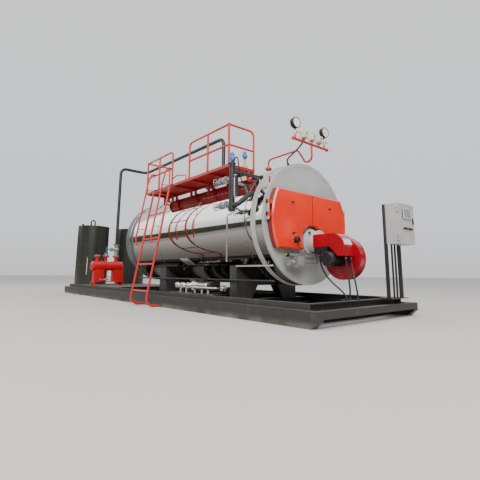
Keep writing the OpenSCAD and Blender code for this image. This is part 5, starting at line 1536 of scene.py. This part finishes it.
@dataclass
class Studio:
    """Camera at the photograph's view, pale floor and soft light."""

    eye: Point = (7.466, -4.470, 0.600)
    yaw: float = 49.85
    pitch: float = 9.54
    roll: float = 0.38
    lens: float = 27.07
    shift: float = -0.0552
    sky: float = 1.05
    floor_half: float = 90.0
    aim: Point = (0, 0, 1.2)
    light_size: float = 12.0
    mirrored: tuple[tuple[float, Colour], ...] = (
        (0.0, (0.36, 0.32, 0.28)), (0.497, (0.34, 0.30, 0.26)), (0.503, (0.07, 0.085, 0.05)),
        (0.6, (0.10, 0.12, 0.085)), (0.64, (0.72, 0.75, 0.78)), (0.7, (0.92, 0.95, 1.0)),
        (1.0, (1.0, 1.0, 1.0)),
    )
    backdrop: tuple[tuple[float, Colour], ...] = (
        (0.0, (0.6, 0.58, 0.56)), (0.5, (0.78, 0.78, 0.78)), (0.56, (0.9, 0.93, 0.96)),
        (1.0, (1.0, 1.0, 1.0)),
    )

    def camera(self) -> None:
        """Makes the scene's camera."""
        data = bpy.data.cameras.new("photo_camera")
        data.lens = self.lens
        data.sensor_width = 36.0
        data.shift_y = self.shift
        data.clip_end = 200.0
        yaw, pitch, roll = (math.radians(a) for a in (self.yaw, self.pitch, self.roll))
        flat = math.cos(pitch)
        ahead = Vector((-math.sin(yaw) * flat, math.cos(yaw) * flat, math.sin(pitch)))
        right = Vector((*polar(1.0, yaw), 0.0))
        view = turned(right, right.cross(ahead), -ahead).to_4x4() @ Matrix.Rotation(roll, 4, "Z")
        camera = bpy.data.objects.new("photo_camera", data)
        camera.matrix_world = Matrix.Translation(Vector(self.eye)) @ view
        bpy.context.scene.collection.objects.link(camera)
        bpy.context.scene.camera = camera

    def floor(self) -> None:
        """Makes the pale floor."""
        mesh = bpy.data.meshes.new("floor")
        half = self.floor_half
        corners = [(-half, -half, 0), (half, -half, 0), (half, half, 0), (-half, half, 0)]
        mesh.from_pydata(corners, [], [(0, 1, 2, 3)])
        floor = bpy.data.objects.new("floor", mesh)
        bpy.context.scene.collection.objects.link(floor)
        s = Shader("pale_floor")
        base = s.mix(s.noise(0.35, 3.0, 0.5), (0.55, 0.53, 0.51), (0.6, 0.58, 0.56))
        s.set(Base_Color=base, Roughness=0.9)
        mesh.materials.append(s.material)

    def world(self) -> None:
        """Makes soft surroundings: pale behind the boiler, banded in what it mirrors."""
        world = bpy.data.worlds.new("soft_studio")
        bpy.context.scene.world = world
        world.use_nodes = True
        graph = Graph(world.node_tree)
        way = graph.node("ShaderNodeTexCoord", {}, {}, "Generated")
        height = graph.node("ShaderNodeSeparateXYZ", {}, {0: way}, 2)
        rise = graph.node("ShaderNodeMapRange", {}, {"Value": height, "From Min": -1.0})
        seen = graph.node("ShaderNodeLightPath", {}, {}, "Is Camera Ray")
        ramps = (graph.ramp(rise, stops) for stops in (self.mirrored, self.backdrop))
        background = graph.tree.nodes["Background"].inputs
        graph.feed(background["Strength"], self.sky)
        graph.feed(background["Color"], graph.mix(seen, *ramps))

    def lights(self) -> None:
        """Makes a broad soft key light and a weaker fill."""
        for name, place, power in (("key", (12.0, -9.0, 12.0), 3400.0),
                                   ("fill", (-12.0, -9.0, 9.0), 600.0)):
            data = bpy.data.lights.new(name, "AREA")
            data.energy = power
            data.size = self.light_size
            light = bpy.data.objects.new(name, data)
            light.location = place
            aim = Vector(self.aim) - Vector(place)
            light.rotation_euler = aim.to_track_quat("-Z", "Y").to_euler()
            bpy.context.scene.collection.objects.link(light)

    def build(self) -> None:
        """Makes the whole studio."""
        for part in (self.camera, self.floor, self.world, self.lights):
            part()


def dress_nodes(nodes: dict[str, bpy.types.Object]) -> None:
    """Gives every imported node, by name, its finish."""
    for finish, names in NODE_FINISHES.items():
        for name in names.split():
            node = nodes[name]
            if not node.material_slots:
                node.data.materials.append(coat_of(finish))
            for slot in node.material_slots:
                slot.material = coat_of(finish)


def main() -> None:
    """Builds the scene."""
    logging.basicConfig(level=logging.INFO, format="%(name)s: %(message)s")
    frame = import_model()
    Studio().build()
    fasteners = Fasteners()
    Cords().build()
    dress_nodes(frame["nodes"])
    for kind in (ShellDetails, FrontDetails, DoorDetails, BurnerDetails, GaugeDetails,
                 ColumnDetails, HeadDetails, WalkwayDetails, CabinetDetails, TankDetails,
                 HeaderDetails, PumpDetails):
        LOG.info("building %s", kind.__name__)
        kind(fasteners).build()
    fasteners.build()


if __name__ == "__main__":
    main()
